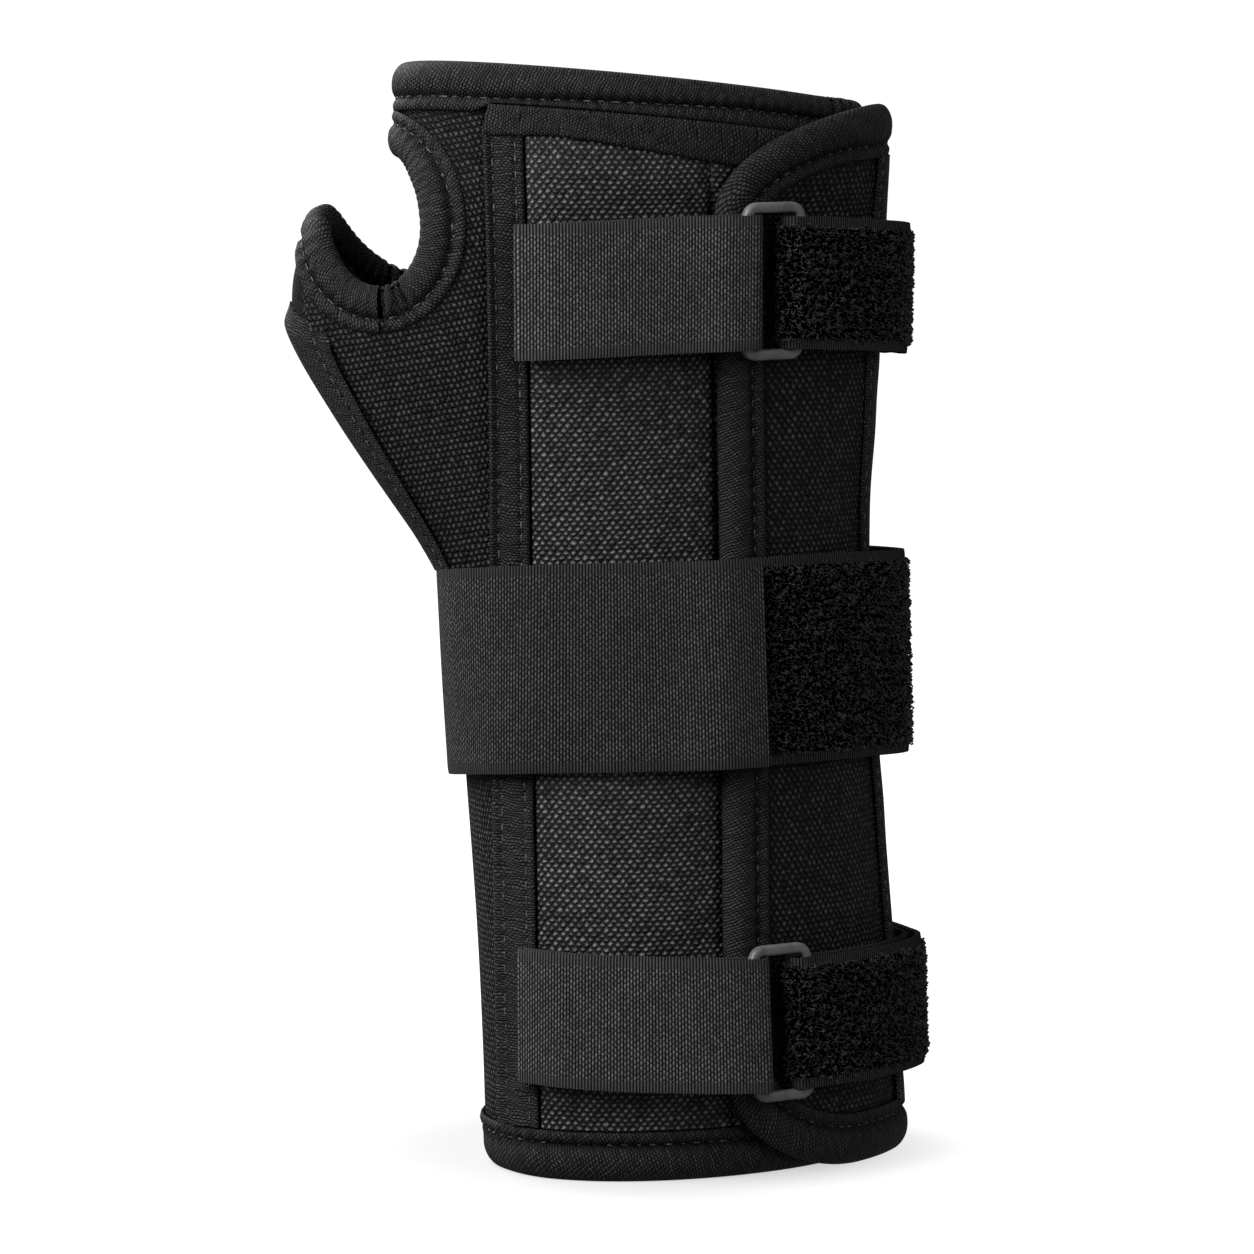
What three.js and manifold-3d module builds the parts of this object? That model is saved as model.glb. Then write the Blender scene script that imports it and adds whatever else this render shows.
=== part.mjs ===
// Wrist brace: a padded wrap with a thumb opening, a splint pocket and three hook-and-loop straps.
// Millimetres, +Z up. The brace stands on its forearm end at z = 0, and the origin is under the middle
// of its box. The splint pocket faces -Y, the thumb side is at -X and the fingers leave at the top.

import * as THREE from "three";
import { mergeVertices } from "three/addons/utils/BufferGeometryUtils.js";
import Module from "manifold-3d";

// Cloth, tape and webbing.
const GAP = 0.3;
const SAG = 0.12;
const WALL = 2.6;
const TAPE = 1.0;
const ROLL_HEIGHT = 6.3;
const ROLL_THICKNESS = 4.6;
const ELASTIC = 1.1;
const PILE = 1.7;

// Outer face of the wrap, a row for each section from the floor up: its ends across the hand, half
// its depth from front to back, and how far the thumb end is pinched.
const SECTIONS = [
  { z: 0, left: -22.3, right: 53.2, depth: 33, pinch: 0 },
  { z: 40, left: -23.5, right: 50.2, depth: 31, pinch: 0 },
  { z: 75, left: -25.9, right: 47.5, depth: 28.8, pinch: 0 },
  { z: 96, left: -27.7, right: 46.0, depth: 27.2, pinch: 0.02 },
  { z: 110, left: -29.0, right: 45.4, depth: 26.5, pinch: 0.06 },
  { z: 116, left: -31.5, right: 45.4, depth: 26.3, pinch: 0.1 },
  { z: 126, left: -37.9, right: 45.7, depth: 26, pinch: 0.16 },
  { z: 143, left: -48.9, right: 46.9, depth: 25.5, pinch: 0.24 },
  { z: 157, left: -56.6, right: 47.6, depth: 25.5, pinch: 0.28 },
  { z: 165, left: -57.6, right: 48.0, depth: 25.5, pinch: 0.28 },
  { z: 173, left: -55.9, right: 48.4, depth: 25.5, pinch: 0.26 },
  { z: 180, left: -52.0, right: 48.7, depth: 25.6, pinch: 0.2 },
  { z: 186, left: -44.5, right: 49.0, depth: 25.8, pinch: 0.12 },
  { z: 191, left: -39.7, right: 49.2, depth: 26, pinch: 0.06 },
  { z: 197, left: -38.3, right: 49.5, depth: 26, pinch: 0.02 },
  { z: 210, left: -38.1, right: 50.0, depth: 26, pinch: 0 },
];
const CENTRE_Y = 0.4;
const SKEW = 0.3;
const SKEW_PIVOT_X = 8;

// Middle of the finished brace across the hand, which is moved to the origin.
const BOX_MIDDLE_X = 1.2;

// The wrap starts at an angle under the flap, crosses the front to the thumb, goes round the back and
// ends over itself.
const INNER_EDGE = -74;
const FLAP_EDGE = { topX: 23.8, bottomX: 26.4 };
const FLAP_RADIUS = 40;
const FLAP_LIFT = 5.4;
const LIFT_FROM = 240;
const LIFT_TO = 292;
// The flap's finger end falls towards its free edge before it rounds the corner.
const FLAP_CORNER = { topWidth: 26, topHeight: 12, bottomWidth: 23, bottomHeight: 15 };
const FLAP_FALL = { reach: 40, slope: 0.15 };
const SIDE_SEAM = { from: 258, to: 290, joint: 264 };

// Finger end: its height at a point of the front, and its slopes to the right and to the back.
const RIM = { height: 207.5, x: -25, y: -30, slopeRight: 0.066, slopeBack: 0.12 };

// Thumb opening: an ellipse punched through the thumb end, with the punch turned a little to the
// right at the back, and the angle round it where its binding joins.
const THUMB_HOLE = { x: -37.2, y: -8, z: 178.1, across: 15.4, up: 17.9, tilt: 14, lean: 0.25 };
const THUMB_JOIN = -98;
const THUMB_ROLL = { height: 5.5, gap: 0.75 };
const THUMB_SEAM = { low: 115, edgeHigh: 158, ridgeHigh: 163, reachLow: 2.2, reachHigh: 6.6 };

// Splint pocket on the front, and the tapes round it: x of their edges at the top and at the bottom.
const POCKET = { topLeft: -14.4, bottomLeft: -10.9, right: 20.4, edge: 25.4, bulge: 1.4 };
const POCKET_TAPE = { topLeft: -22, topRight: -14.9, bottomLeft: -18.4, bottomRight: -11.5 };
const POCKET_BOTTOM = 6.8;
const TOP_TAPE = { left: -22, right: 31, leftHeight: 6.2, rightHeight: 8.9 };

// Rectangular rings and the straps that turn back through them.
const RING = { width: 13.6, height: 29.2, sideBar: 1.8, endBar: 2, thickness: 1.8, corner: 3 };
const RING_OUT = 3.9;
const RING_STRAPS = {
  upper: { tabLeft: -16.8, tabZ: 165.5, ringX: 26.2, ringZ: 167.1, sideZ: 163.6, stand: 5.4 },
  lower: { tabLeft: -14.4, tabZ: 31.2, ringX: 28, ringZ: 29.3, sideZ: 27.8, stand: 4.5 },
};
// How far the middle of each fold stands in from its bar, and how low the pile strap hangs in the ring.
const FOLD_SHIFT = { tab: 0.8, pull: 1.6 };
const PULL_DROP = 0.3;
const TAB_HEIGHT = 24.8;
const PULL_HEIGHT = 24.4;
const PULL_ENDS = { sewn: 205, free: 226 };

// Wide band at the wrist, a row for each place: angle round the wrap, distance of its middle from the
// face, height, and the share of the wrap's slope that it leans with.
const MIDDLE = { z: 96, height: 38.5, bandEndX: 24.8, pileStartX: 19.6 };
const MIDDLE_BAND_ROUND = [
  { angle: 34, out: 3.9, z: 95.8, lean: 1 },
  { angle: 59, out: 2.7, z: 94.8, lean: 1 },
  { angle: 90, out: 2.3, z: 93.4, lean: 0.6 },
  { angle: 120, out: 1.8, z: 93.6, lean: 1 },
  { angle: 180, out: 1.3, z: 94.5, lean: 1 },
  { angle: 252, out: 1.5, z: 95, lean: 1 },
];
const MIDDLE_PILE_ROUND = [
  { angle: 205, out: 3.4, z: 93.6, lean: 1 },
  { angle: 235, out: 3.8, z: 93.6, lean: 1 },
  { angle: 262, out: 7.2, z: 93.6, lean: 0.4 },
  { angle: 275, out: 7.6, z: 94, lean: 0.4 },
  { angle: 295, out: 3.7, z: 95.2, lean: 1 },
];

const DEGREE = Math.PI / 180;
const TURN = 2 * Math.PI;

const wasm = await Module();
wasm.setup();

// Numbers from one value to another, both included.
function steps(from, to, count) {
  return Array.from({ length: count + 1 }, (_, i) => from + ((to - from) * i) / count);
}

// A table's columns at any value of its key column, on a smooth curve through its rows.
function rowAt(table, key, value) {
  const last = table.length - 1;
  const i = Math.min(last - 1, Math.max(0, table.findLastIndex((row) => row[key] <= value)));
  const near = [i - 1, i, i + 1, i + 2].map((k) => table[Math.min(last, Math.max(0, k))]);
  const [before, low, high, after] = near;
  const span = high[key] - low[key];
  const t = THREE.MathUtils.clamp((value - low[key]) / span, 0, 1);
  const row = {};
  for (const column of Object.keys(low)) {
    const slopeLow = ((high[column] - before[column]) / (high[key] - before[key])) * span;
    const slopeHigh = ((after[column] - low[column]) / (after[key] - low[key])) * span;
    const a = 2 * low[column] - 2 * high[column] + slopeLow + slopeHigh;
    const b = -3 * low[column] + 3 * high[column] - 2 * slopeLow - slopeHigh;
    row[column] = ((a * t + b) * t + slopeLow) * t + low[column];
  }
  return row;
}

// The wrap's section at a height, with its middle and half width beside the table's columns.
function sectionAt(z) {
  const row = rowAt(SECTIONS, "z", z);
  return { ...row, centre: (row.left + row.right) / 2, width: (row.right - row.left) / 2 };
}

// A point of the outer face without the flap's lift. The angle runs from the front by the thumb to
// the back.
function turnPoint(angle, z) {
  const s = sectionAt(z);
  const across = Math.sin(angle);
  const x = s.centre - s.width * across;
  const slim = 1 - s.pinch * Math.max(0, across) ** 2;
  const y = CENTRE_Y - s.depth * slim * Math.cos(angle) + SKEW * (x - SKEW_PIVOT_X);
  return new THREE.Vector3(x, y, z);
}

// Outward normal and upward slope of a surface given by angle and height.
function slopes(pointAt, angle, z) {
  const around = pointAt(angle + 0.02, z).sub(pointAt(angle - 0.02, z));
  const up = pointAt(angle, z + 1).sub(pointAt(angle, z - 1)).multiplyScalar(0.5);
  const normal = new THREE.Vector3().crossVectors(up, around).normalize();
  return { normal, up };
}

// A point of the outer face: past the right side it lifts over the turn below and becomes the flap.
function facePoint(angle, z) {
  const lift = FLAP_LIFT * THREE.MathUtils.smoothstep(angle / DEGREE, LIFT_FROM, LIFT_TO);
  const point = turnPoint(angle, z);
  return lift > 0 ? point.addScaledVector(slopes(turnPoint, angle, z).normal, lift) : point;
}

// A point at a distance outside the face.
function wrapPoint(angle, z, out) {
  return facePoint(angle, z).addScaledVector(slopes(facePoint, angle, z).normal, out);
}

// The angle of a place on the front, on the turn below the flap. The flap is a whole turn further.
function frontAngle(x, z) {
  const s = sectionAt(z);
  return Math.asin(THREE.MathUtils.clamp((s.centre - x) / s.width, -1, 1));
}

// Upper end of the wall, below the roll of the finger end.
function wallTop(angle) {
  const p = facePoint(angle, RIM.height);
  const rim = RIM.height - RIM.slopeRight * (p.x - RIM.x) - RIM.slopeBack * (p.y - RIM.y);
  return rim - ROLL_HEIGHT;
}

// Turns a closed surface round if its faces point inwards.
function facingOut(geometry) {
  const p = geometry.getAttribute("position");
  const index = geometry.index.array;
  const corner = (k) => new THREE.Vector3().fromBufferAttribute(p, index[k]);
  let volume = 0;
  for (let k = 0; k < index.length; k += 3) {
    volume += corner(k).dot(corner(k + 1).cross(corner(k + 2)));
  }
  if (volume < 0) index.reverse();
  geometry.computeVertexNormals();
  return geometry;
}

// A closed surface through rings of points. Each ring runs up its outer side and back down its inner
// side.
function loft(rings, closed = false) {
  const count = rings[0].length;
  const positions = rings.flat().flatMap((p) => [p.x, p.y, p.z]);
  const faces = [];
  const quad = (a, b, c, d) => faces.push(a, b, c, a, c, d);
  const spans = closed ? rings.length : rings.length - 1;
  for (let i = 0; i < spans; i += 1) {
    const here = i * count;
    const next = ((i + 1) % rings.length) * count;
    for (let j = 0; j < count; j += 1) {
      const k = (j + 1) % count;
      quad(here + j, next + j, next + k, here + k);
    }
  }
  if (!closed) {
    const end = (rings.length - 1) * count;
    for (let j = 0; j < count / 2 - 1; j += 1) {
      const back = count - 1 - j;
      quad(j, j + 1, back - 1, back);
      quad(end + back, end + back - 1, end + j + 1, end + j);
    }
  }
  const geometry = new THREE.BufferGeometry();
  geometry.setAttribute("position", new THREE.Float32BufferAttribute(positions, 3));
  geometry.setIndex(faces);
  return facingOut(geometry);
}

function solidOf(geometry) {
  const bare = geometry.clone();
  bare.deleteAttribute("normal");
  const merged = mergeVertices(bare, 1e-4);
  const vertProperties = merged.getAttribute("position").array;
  const triVerts = new Uint32Array(merged.index.array);
  return new wasm.Manifold(new wasm.Mesh({ numProp: 3, vertProperties, triVerts }));
}

function geometryOf(solid) {
  const mesh = solid.getMesh();
  const geometry = new THREE.BufferGeometry();
  geometry.setAttribute("position", new THREE.BufferAttribute(mesh.vertProperties, mesh.numProp));
  geometry.setIndex(new THREE.BufferAttribute(mesh.triVerts, 1));
  geometry.computeVertexNormals();
  return geometry;
}

// A sheet on the wrap: columns give an angle at each height and their own range of height.
function sheet(columns, shares, inner, outer) {
  const rings = columns.map((column) => {
    const places = shares.map((share) => {
      const z = THREE.MathUtils.lerp(column.low, column.high, share);
      return { z, angle: column.angleAt(z), share };
    });
    const side = (out) => places.map((p) => wrapPoint(p.angle, p.z, out(column, p)));
    return [...side(outer), ...side(inner).reverse()];
  });
  return loft(rings);
}

// Columns of the wall, a row for each stretch of angle, close together round the thumb ridge.
const WALL_STRETCHES = [
  { to: 50, count: 11 },
  { to: 75, count: 3 },
  { to: 105, count: 7 },
  { to: 130, count: 3 },
  { to: 266, count: 12 },
];
const FLAP_COLUMNS = 3;
const CORNER_COLUMNS = 9;

// Rows of the wall as shares of its height, close together where the thumb end flares.
const WALL_ROWS = [...steps(0, 0.5, 5), ...steps(0.5, 0.94, 13).slice(1), 1];

// How far a rounded corner of the flap stands in at a distance from the free edge.
function cornerDrop(distance, width, height) {
  const along = THREE.MathUtils.clamp(1 - distance / width, 0, 1);
  return height * (1 - Math.sqrt(1 - along * along));
}

function wallColumn(angleAt, fromEdge = Infinity) {
  const c = FLAP_CORNER;
  const low = ROLL_HEIGHT + cornerDrop(fromEdge, c.bottomWidth, c.bottomHeight);
  const fall = FLAP_FALL.slope * Math.max(0, FLAP_FALL.reach - fromEdge);
  const high = wallTop(angleAt(RIM.height)) - fall - cornerDrop(fromEdge, c.topWidth, c.topHeight);
  return { angleAt, low, high };
}

function wallColumns() {
  const columns = [];
  let from = () => INNER_EDGE * DEGREE;
  for (const { to, count } of WALL_STRETCHES) {
    const start = from;
    for (const t of steps(0, 1, count).slice(0, -1)) {
      columns.push(wallColumn((z) => THREE.MathUtils.lerp(start(z), to * DEGREE, t)));
    }
    from = () => to * DEGREE;
  }
  const edgeX = (z) => slantX(FLAP_EDGE.topX, FLAP_EDGE.bottomX, z);
  const flapAngle = (z, distance) => frontAngle(edgeX(z), z) + TURN - distance / FLAP_RADIUS;
  const cornerAngle = (z) => flapAngle(z, FLAP_FALL.reach);
  for (const t of steps(0, 1, FLAP_COLUMNS).slice(0, -1)) {
    columns.push(wallColumn((z) => THREE.MathUtils.lerp(from(z), cornerAngle(z), t)));
  }
  for (const theta of steps(90 * DEGREE, 0, CORNER_COLUMNS)) {
    const distance = FLAP_FALL.reach * (1 - Math.cos(theta));
    columns.push(wallColumn((z) => flapAngle(z, distance), distance));
  }
  return columns;
}

const COLUMNS = wallColumns();

// Where the punch of the thumb opening meets the outer face, on the front or the back.
function thumbHolePlace(theta, back) {
  const h = THUMB_HOLE;
  const tilt = h.tilt * DEGREE;
  const across = h.across * Math.cos(theta);
  const up = h.up * Math.sin(theta);
  const z = h.z + across * Math.sin(tilt) + up * Math.cos(tilt);
  const middle = h.x + across * Math.cos(tilt) - up * Math.sin(tilt);
  let x = middle;
  for (let k = 0; k < 6; k += 1) {
    const front = frontAngle(x, z);
    const y = turnPoint(back ? Math.PI - front : front, z).y;
    x = middle + h.lean * (y - h.y);
  }
  const front = frontAngle(x, z);
  const inside = x - sectionAt(z).left;
  return { point: turnPoint(back ? Math.PI - front : front, z), inside };
}

// The opening's edge, once round from the place where its binding joins.
function thumbHoleEdge() {
  const from = THUMB_JOIN;
  const onFace = (angles, back) =>
    angles.map((a) => thumbHolePlace(a * DEGREE, back)).filter((place) => place.inside > 0.02);
  const toTop = onFace(steps(from, 170, 115), false);
  const behind = onFace(steps(170, -190, 180), true);
  const toJoin = onFace(steps(-190, from, 65), false);
  const points = [...toTop, ...behind, ...toJoin].map((place) => place.point);
  const apart = points.filter((p, i) => i === 0 || p.distanceTo(points[i - 1]) > 0.02);
  return new THREE.CatmullRomCurve3(apart);
}

// Angle round the wrap of a point on its face.
function angleOf(point) {
  const s = sectionAt(point.z);
  const across = (s.centre - point.x) / s.width;
  const slim = 1 - s.pinch * Math.max(0, across) ** 2;
  const along = (CENTRE_Y + SKEW * (point.x - SKEW_PIVOT_X) - point.y) / (s.depth * slim);
  return Math.atan2(across, along);
}

const THUMB_EDGE = thumbHoleEdge();

// Places along an edge of the wall, each with its face's normal and the way off the edge in the face.
function edgeStations(places, side, closed = false) {
  const middle = places.map((p) => wrapPoint(p.angle, p.z, -WALL / 2));
  const last = places.length - 1;
  return places.map((place, i) => {
    const before = middle[closed ? (i + last) % places.length : Math.max(0, i - 1)];
    const after = middle[closed ? (i + 1) % places.length : Math.min(last, i + 1)];
    const along = after.clone().sub(before).normalize();
    const { normal } = slopes(facePoint, place.angle, place.z);
    const away = new THREE.Vector3().crossVectors(along, normal).normalize().multiplyScalar(side);
    return { point: middle[i], normal, away };
  });
}

// Section of a rolled edge: shares of its thickness and height, from the wall's edge outwards.
const ROLL_SECTION = [
  { thick: 0.4, high: 0 },
  { thick: 0.5, high: 0.36 },
  { thick: 0.44, high: 0.8 },
  { thick: 0.2, high: 1 },
];

// A tape rolled over an edge. Where it rests on the floor it is pressed flat.
function roll(stations, height = ROLL_HEIGHT, gap = GAP) {
  const rings = stations.map(({ point, normal, away }) => {
    const corner = (side) => ({ thick, high }) => {
      const p = point.clone().addScaledVector(normal, side * thick * ROLL_THICKNESS);
      p.addScaledVector(away, gap + high * height);
      p.z = Math.max(0, p.z);
      return p;
    };
    return [...ROLL_SECTION.map(corner(1)), ...ROLL_SECTION.map(corner(-1)).reverse()];
  });
  return loft(rings);
}

function thumbPlaces(count, slit) {
  const length = THUMB_EDGE.getLength();
  return steps(slit / length, 1 - slit / length, count).map((u) => {
    const point = THUMB_EDGE.getPointAt(u);
    return { angle: angleOf(point), z: point.z };
  });
}

// The piece of the wall that the thumb opening takes out: square to the wall along the edge.
function thumbPunch() {
  const stations = edgeStations(thumbPlaces(72, 0).slice(0, -1), -1, true);
  const outside = stations.map((s) => s.point.clone().addScaledVector(s.normal, 4));
  const inside = stations.map((s) => s.point.clone().addScaledVector(s.normal, -3.4));
  const count = stations.length;
  const tipOutside = new THREE.Vector3(-120, -30, 186);
  const tipInside = new THREE.Vector3();
  inside.forEach((p) => tipInside.addScaledVector(p, 1 / count));
  const positions = [tipOutside, tipInside, ...outside, ...inside].flatMap((p) => [p.x, p.y, p.z]);
  const faces = [];
  for (let i = 0; i < count; i += 1) {
    const k = (i + 1) % count;
    const [a, b, c, d] = [2 + i, 2 + k, 2 + count + k, 2 + count + i];
    faces.push(0, a, b, a, d, c, a, c, b, d, 1, c);
  }
  const geometry = new THREE.BufferGeometry();
  geometry.setAttribute("position", new THREE.Float32BufferAttribute(positions, 3));
  geometry.setIndex(faces);
  return facingOut(geometry);
}

function thumbBinding() {
  return roll(edgeStations(thumbPlaces(42, 0.5), -1), THUMB_ROLL.height, THUMB_ROLL.gap);
}

function sleeve() {
  const wall = sheet(COLUMNS, WALL_ROWS, () => -WALL, () => 0);
  return geometryOf(solidOf(wall).subtract(solidOf(thumbPunch())));
}

const seamAngle = SIDE_SEAM.joint * DEGREE;

function endPlace(column, z) {
  return { angle: column.angleAt(z), z };
}

// Edge of the wrap from its hidden inner edge to the side seam, at the floor or at the finger end.
function rimPlaces(end) {
  return steps(INNER_EDGE * DEGREE, seamAngle - 0.01, 36).map((angle) => ({
    angle,
    z: end === "high" ? wallTop(angle) : ROLL_HEIGHT,
  }));
}

// Edge of the flap: along the floor, round the corner, up the free edge, round and back along the
// finger end.
function flapPlaces() {
  const edge = COLUMNS.at(-1);
  const corner = COLUMNS.slice(-CORNER_COLUMNS - 1);
  const first = corner[0];
  const straight = (end) => {
    const angles = steps(seamAngle + 0.01, first.angleAt(first[end]), 5).slice(0, -1);
    return angles.map((angle) => ({ angle, z: end === "high" ? wallTop(angle) : ROLL_HEIGHT }));
  };
  const low = [...straight("low"), ...corner.map((c) => endPlace(c, c.low))];
  const high = [...straight("high"), ...corner.map((c) => endPlace(c, c.high))];
  const rise = steps(edge.low, edge.high, 14).slice(1, -1).map((z) => endPlace(edge, z));
  return [...low, ...rise, ...high.reverse()];
}

// Tape folded over the slanted ridge under the thumb.
function thumbSeamTape() {
  const columns = steps(-1, 1, 10).map((t) => ({
    low: THUMB_SEAM.low,
    high: THREE.MathUtils.lerp(THUMB_SEAM.ridgeHigh, THUMB_SEAM.edgeHigh, Math.abs(t)),
    angleAt: (z) => {
      const { width } = sectionAt(z);
      const { low, ridgeHigh, reachLow, reachHigh } = THUMB_SEAM;
      const reach = THREE.MathUtils.mapLinear(z, low, ridgeHigh, reachLow, reachHigh);
      const half = Math.acos(1 - reach / width);
      return Math.PI / 2 + t * half;
    },
  }));
  return sheet(columns, steps(0, 1, 10), () => GAP + SAG, () => GAP + TAPE);
}

// x of a slanting edge on the front, given at the top and at the bottom.
function slantX(top, bottom, z) {
  return THREE.MathUtils.lerp(bottom, top, z / RIM.height);
}

function topTapeLow(x) {
  const share = (x - TOP_TAPE.left) / (TOP_TAPE.right - TOP_TAPE.left);
  const height = THREE.MathUtils.lerp(TOP_TAPE.leftHeight, TOP_TAPE.rightHeight, share);
  return wallTop(frontAngle(x, RIM.height)) - height;
}

// A sheet on the front between two slanting edges.
function frontSheet(count, rows, xAt, low, high, outer) {
  const columns = steps(0, 1, count).map((t) => ({
    t,
    angleAt: (z) => frontAngle(xAt(t, z), z),
    low: low(t),
    high: high(t),
  }));
  return sheet(columns, rows, () => GAP + SAG, outer);
}

function splintPocket() {
  const p = POCKET;
  const leftX = (z) => slantX(p.topLeft, p.bottomLeft, z);
  const xAt = (t, z) => THREE.MathUtils.lerp(leftX(z), p.edge, t);
  const high = (t) => topTapeLow(xAt(t, 190)) - GAP;
  const bulge = ({ t }, { z, share }) => {
    const across = THREE.MathUtils.clamp((xAt(t, z) - leftX(z)) / (p.right - leftX(z)), 0, 1);
    const ends = THREE.MathUtils.smoothstep(Math.min(share, 1 - share), 0, 0.04);
    return GAP + TAPE + p.bulge * Math.sqrt(Math.sin(Math.PI * across)) * ends;
  };
  const middleRows = [...steps(0.04, 0.8, 6), ...steps(0.8, 0.96, 5).slice(1)];
  const rows = [0, 0.015, ...middleRows, 0.985, 1];
  return frontSheet(10, rows, xAt, () => POCKET_BOTTOM, high, bulge);
}

function pocketSideTape() {
  const p = POCKET_TAPE;
  const xAt = (t, z) =>
    THREE.MathUtils.lerp(slantX(p.topLeft, p.bottomLeft, z), slantX(p.topRight, p.bottomRight, z), t);
  const high = (t) => topTapeLow(xAt(t, 190)) - GAP;
  const rows = [...steps(0, 0.8, 8), ...steps(0.8, 1, 6).slice(1)];
  return frontSheet(3, rows, xAt, () => POCKET_BOTTOM, high, () => GAP + TAPE);
}

function pocketTopTape() {
  const xAt = (t) => THREE.MathUtils.lerp(TOP_TAPE.left, TOP_TAPE.right, t);
  const high = (t) => wallTop(frontAngle(xAt(t), RIM.height)) - GAP;
  return frontSheet(14, [0, 0.5, 1], xAt, (t) => topTapeLow(xAt(t)), high, () => GAP + TAPE);
}

function sideSeamTape() {
  const columns = steps(SIDE_SEAM.from, SIDE_SEAM.to, 8).map((degrees) => ({
    angleAt: () => degrees * DEGREE,
    low: ROLL_HEIGHT + 0.6,
    high: wallTop(degrees * DEGREE) - 2.4,
  }));
  return sheet(columns, steps(0, 1, 14), () => GAP, () => GAP + TAPE);
}

// A place on a strap's middle line: its normal lies level and its upright leans with the wrap.
function strapStation(angle, z, out, share = 1) {
  const { normal } = slopes(facePoint, angle, z);
  const point = facePoint(angle, z).addScaledVector(normal, out);
  const lean = (-share * normal.z) / Math.hypot(normal.x, normal.y);
  normal.setZ(0).normalize();
  const up = normal.clone().multiplyScalar(lean).setZ(1);
  return { point, normal, up };
}

// Angle of the place on the turn below the flap that faces a point, and the point's distance from it.
function footOf(point, guess) {
  let angle = guess;
  for (let k = 0; k < 12; k += 1) {
    const around = turnPoint(angle + 0.01, point.z).sub(turnPoint(angle - 0.01, point.z));
    const miss = point.clone().sub(turnPoint(angle, point.z));
    angle += (0.016 * miss.dot(around)) / around.lengthSq();
  }
  const { normal } = slopes(turnPoint, angle, point.z);
  const out = point.clone().sub(turnPoint(angle, point.z)).dot(normal);
  return { angle, out };
}

// Webbing of even thickness along its middle line.
function webbing(stations, height, thickness, closed = false) {
  const rings = stations.map(({ point, normal, up }) => {
    const corner = (rise, side) => {
      const p = point.clone().addScaledVector(up, (rise * height) / 2);
      return p.addScaledVector(normal, (side * thickness) / 2);
    };
    return [corner(-1, 1), corner(1, 1), corner(1, -1), corner(-1, -1)];
  });
  return loft(rings, closed);
}

// A half turn of webbing about an upright line, from below it to above it or back.
function fold(centre, radius, towards, count) {
  const { point, normal, up } = centre;
  const along = new THREE.Vector3().crossVectors(new THREE.Vector3(0, 0, 1), normal);
  along.multiplyScalar(towards);
  return steps(-90 * DEGREE, 90 * DEGREE, count).map((theta) => {
    const out = along.clone().multiplyScalar(Math.cos(theta)).addScaledVector(normal, Math.sin(theta));
    return { point: point.clone().addScaledVector(out, radius), normal: out, up };
  });
}

// The ring's place over the flap, and its bars to the left and the right.
function ringPlace(strap) {
  const angle = frontAngle(strap.ringX, strap.ringZ) + TURN;
  const station = strapStation(angle, strap.ringZ, RING_OUT);
  const right = new THREE.Vector3().crossVectors(new THREE.Vector3(0, 0, 1), station.normal);
  const half = (RING.width - RING.sideBar) / 2;
  const bar = (along, rise) => {
    const point = station.point.clone().addScaledVector(right, along).addScaledVector(station.up, rise);
    return { ...station, point };
  };
  const leftBar = bar(FOLD_SHIFT.tab - half, 0);
  const rightBar = bar(half - FOLD_SHIFT.pull, -PULL_DROP);
  return { ...station, right, leftBar, rightBar };
}

function ring(strap) {
  const { width, height, sideBar, endBar, thickness, corner } = RING;
  const outline = (shape, w, h, r) => {
    shape.moveTo(-w / 2 + r, -h / 2);
    shape.lineTo(w / 2 - r, -h / 2);
    shape.absarc(w / 2 - r, -h / 2 + r, r, -Math.PI / 2, 0);
    shape.lineTo(w / 2, h / 2 - r);
    shape.absarc(w / 2 - r, h / 2 - r, r, 0, Math.PI / 2);
    shape.lineTo(-w / 2 + r, h / 2);
    shape.absarc(-w / 2 + r, h / 2 - r, r, Math.PI / 2, Math.PI);
    shape.lineTo(-w / 2, -h / 2 + r);
    shape.absarc(-w / 2 + r, -h / 2 + r, r, Math.PI, 1.5 * Math.PI);
    return shape;
  };
  const bevel = 0.4;
  const frame = outline(new THREE.Shape(), width - 2 * bevel, height - 2 * bevel, corner - bevel);
  const holeWidth = width - 2 * sideBar + 2 * bevel;
  frame.holes.push(outline(new THREE.Path(), holeWidth, height - 2 * endBar + 2 * bevel, 1 + bevel));
  const geometry = new THREE.ExtrudeGeometry(frame, {
    depth: thickness - 2 * bevel,
    bevelEnabled: true,
    bevelThickness: bevel,
    bevelSize: bevel,
    bevelSegments: 1,
    curveSegments: 3,
  });
  geometry.translate(0, 0, bevel - thickness / 2);
  const { point, right, up } = ringPlace(strap);
  const upright = up.clone().normalize();
  const facing = new THREE.Vector3().crossVectors(right, upright);
  const place = new THREE.Matrix4().makeBasis(right, upright, facing).setPosition(point);
  return geometry.applyMatrix4(place);
}

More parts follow.
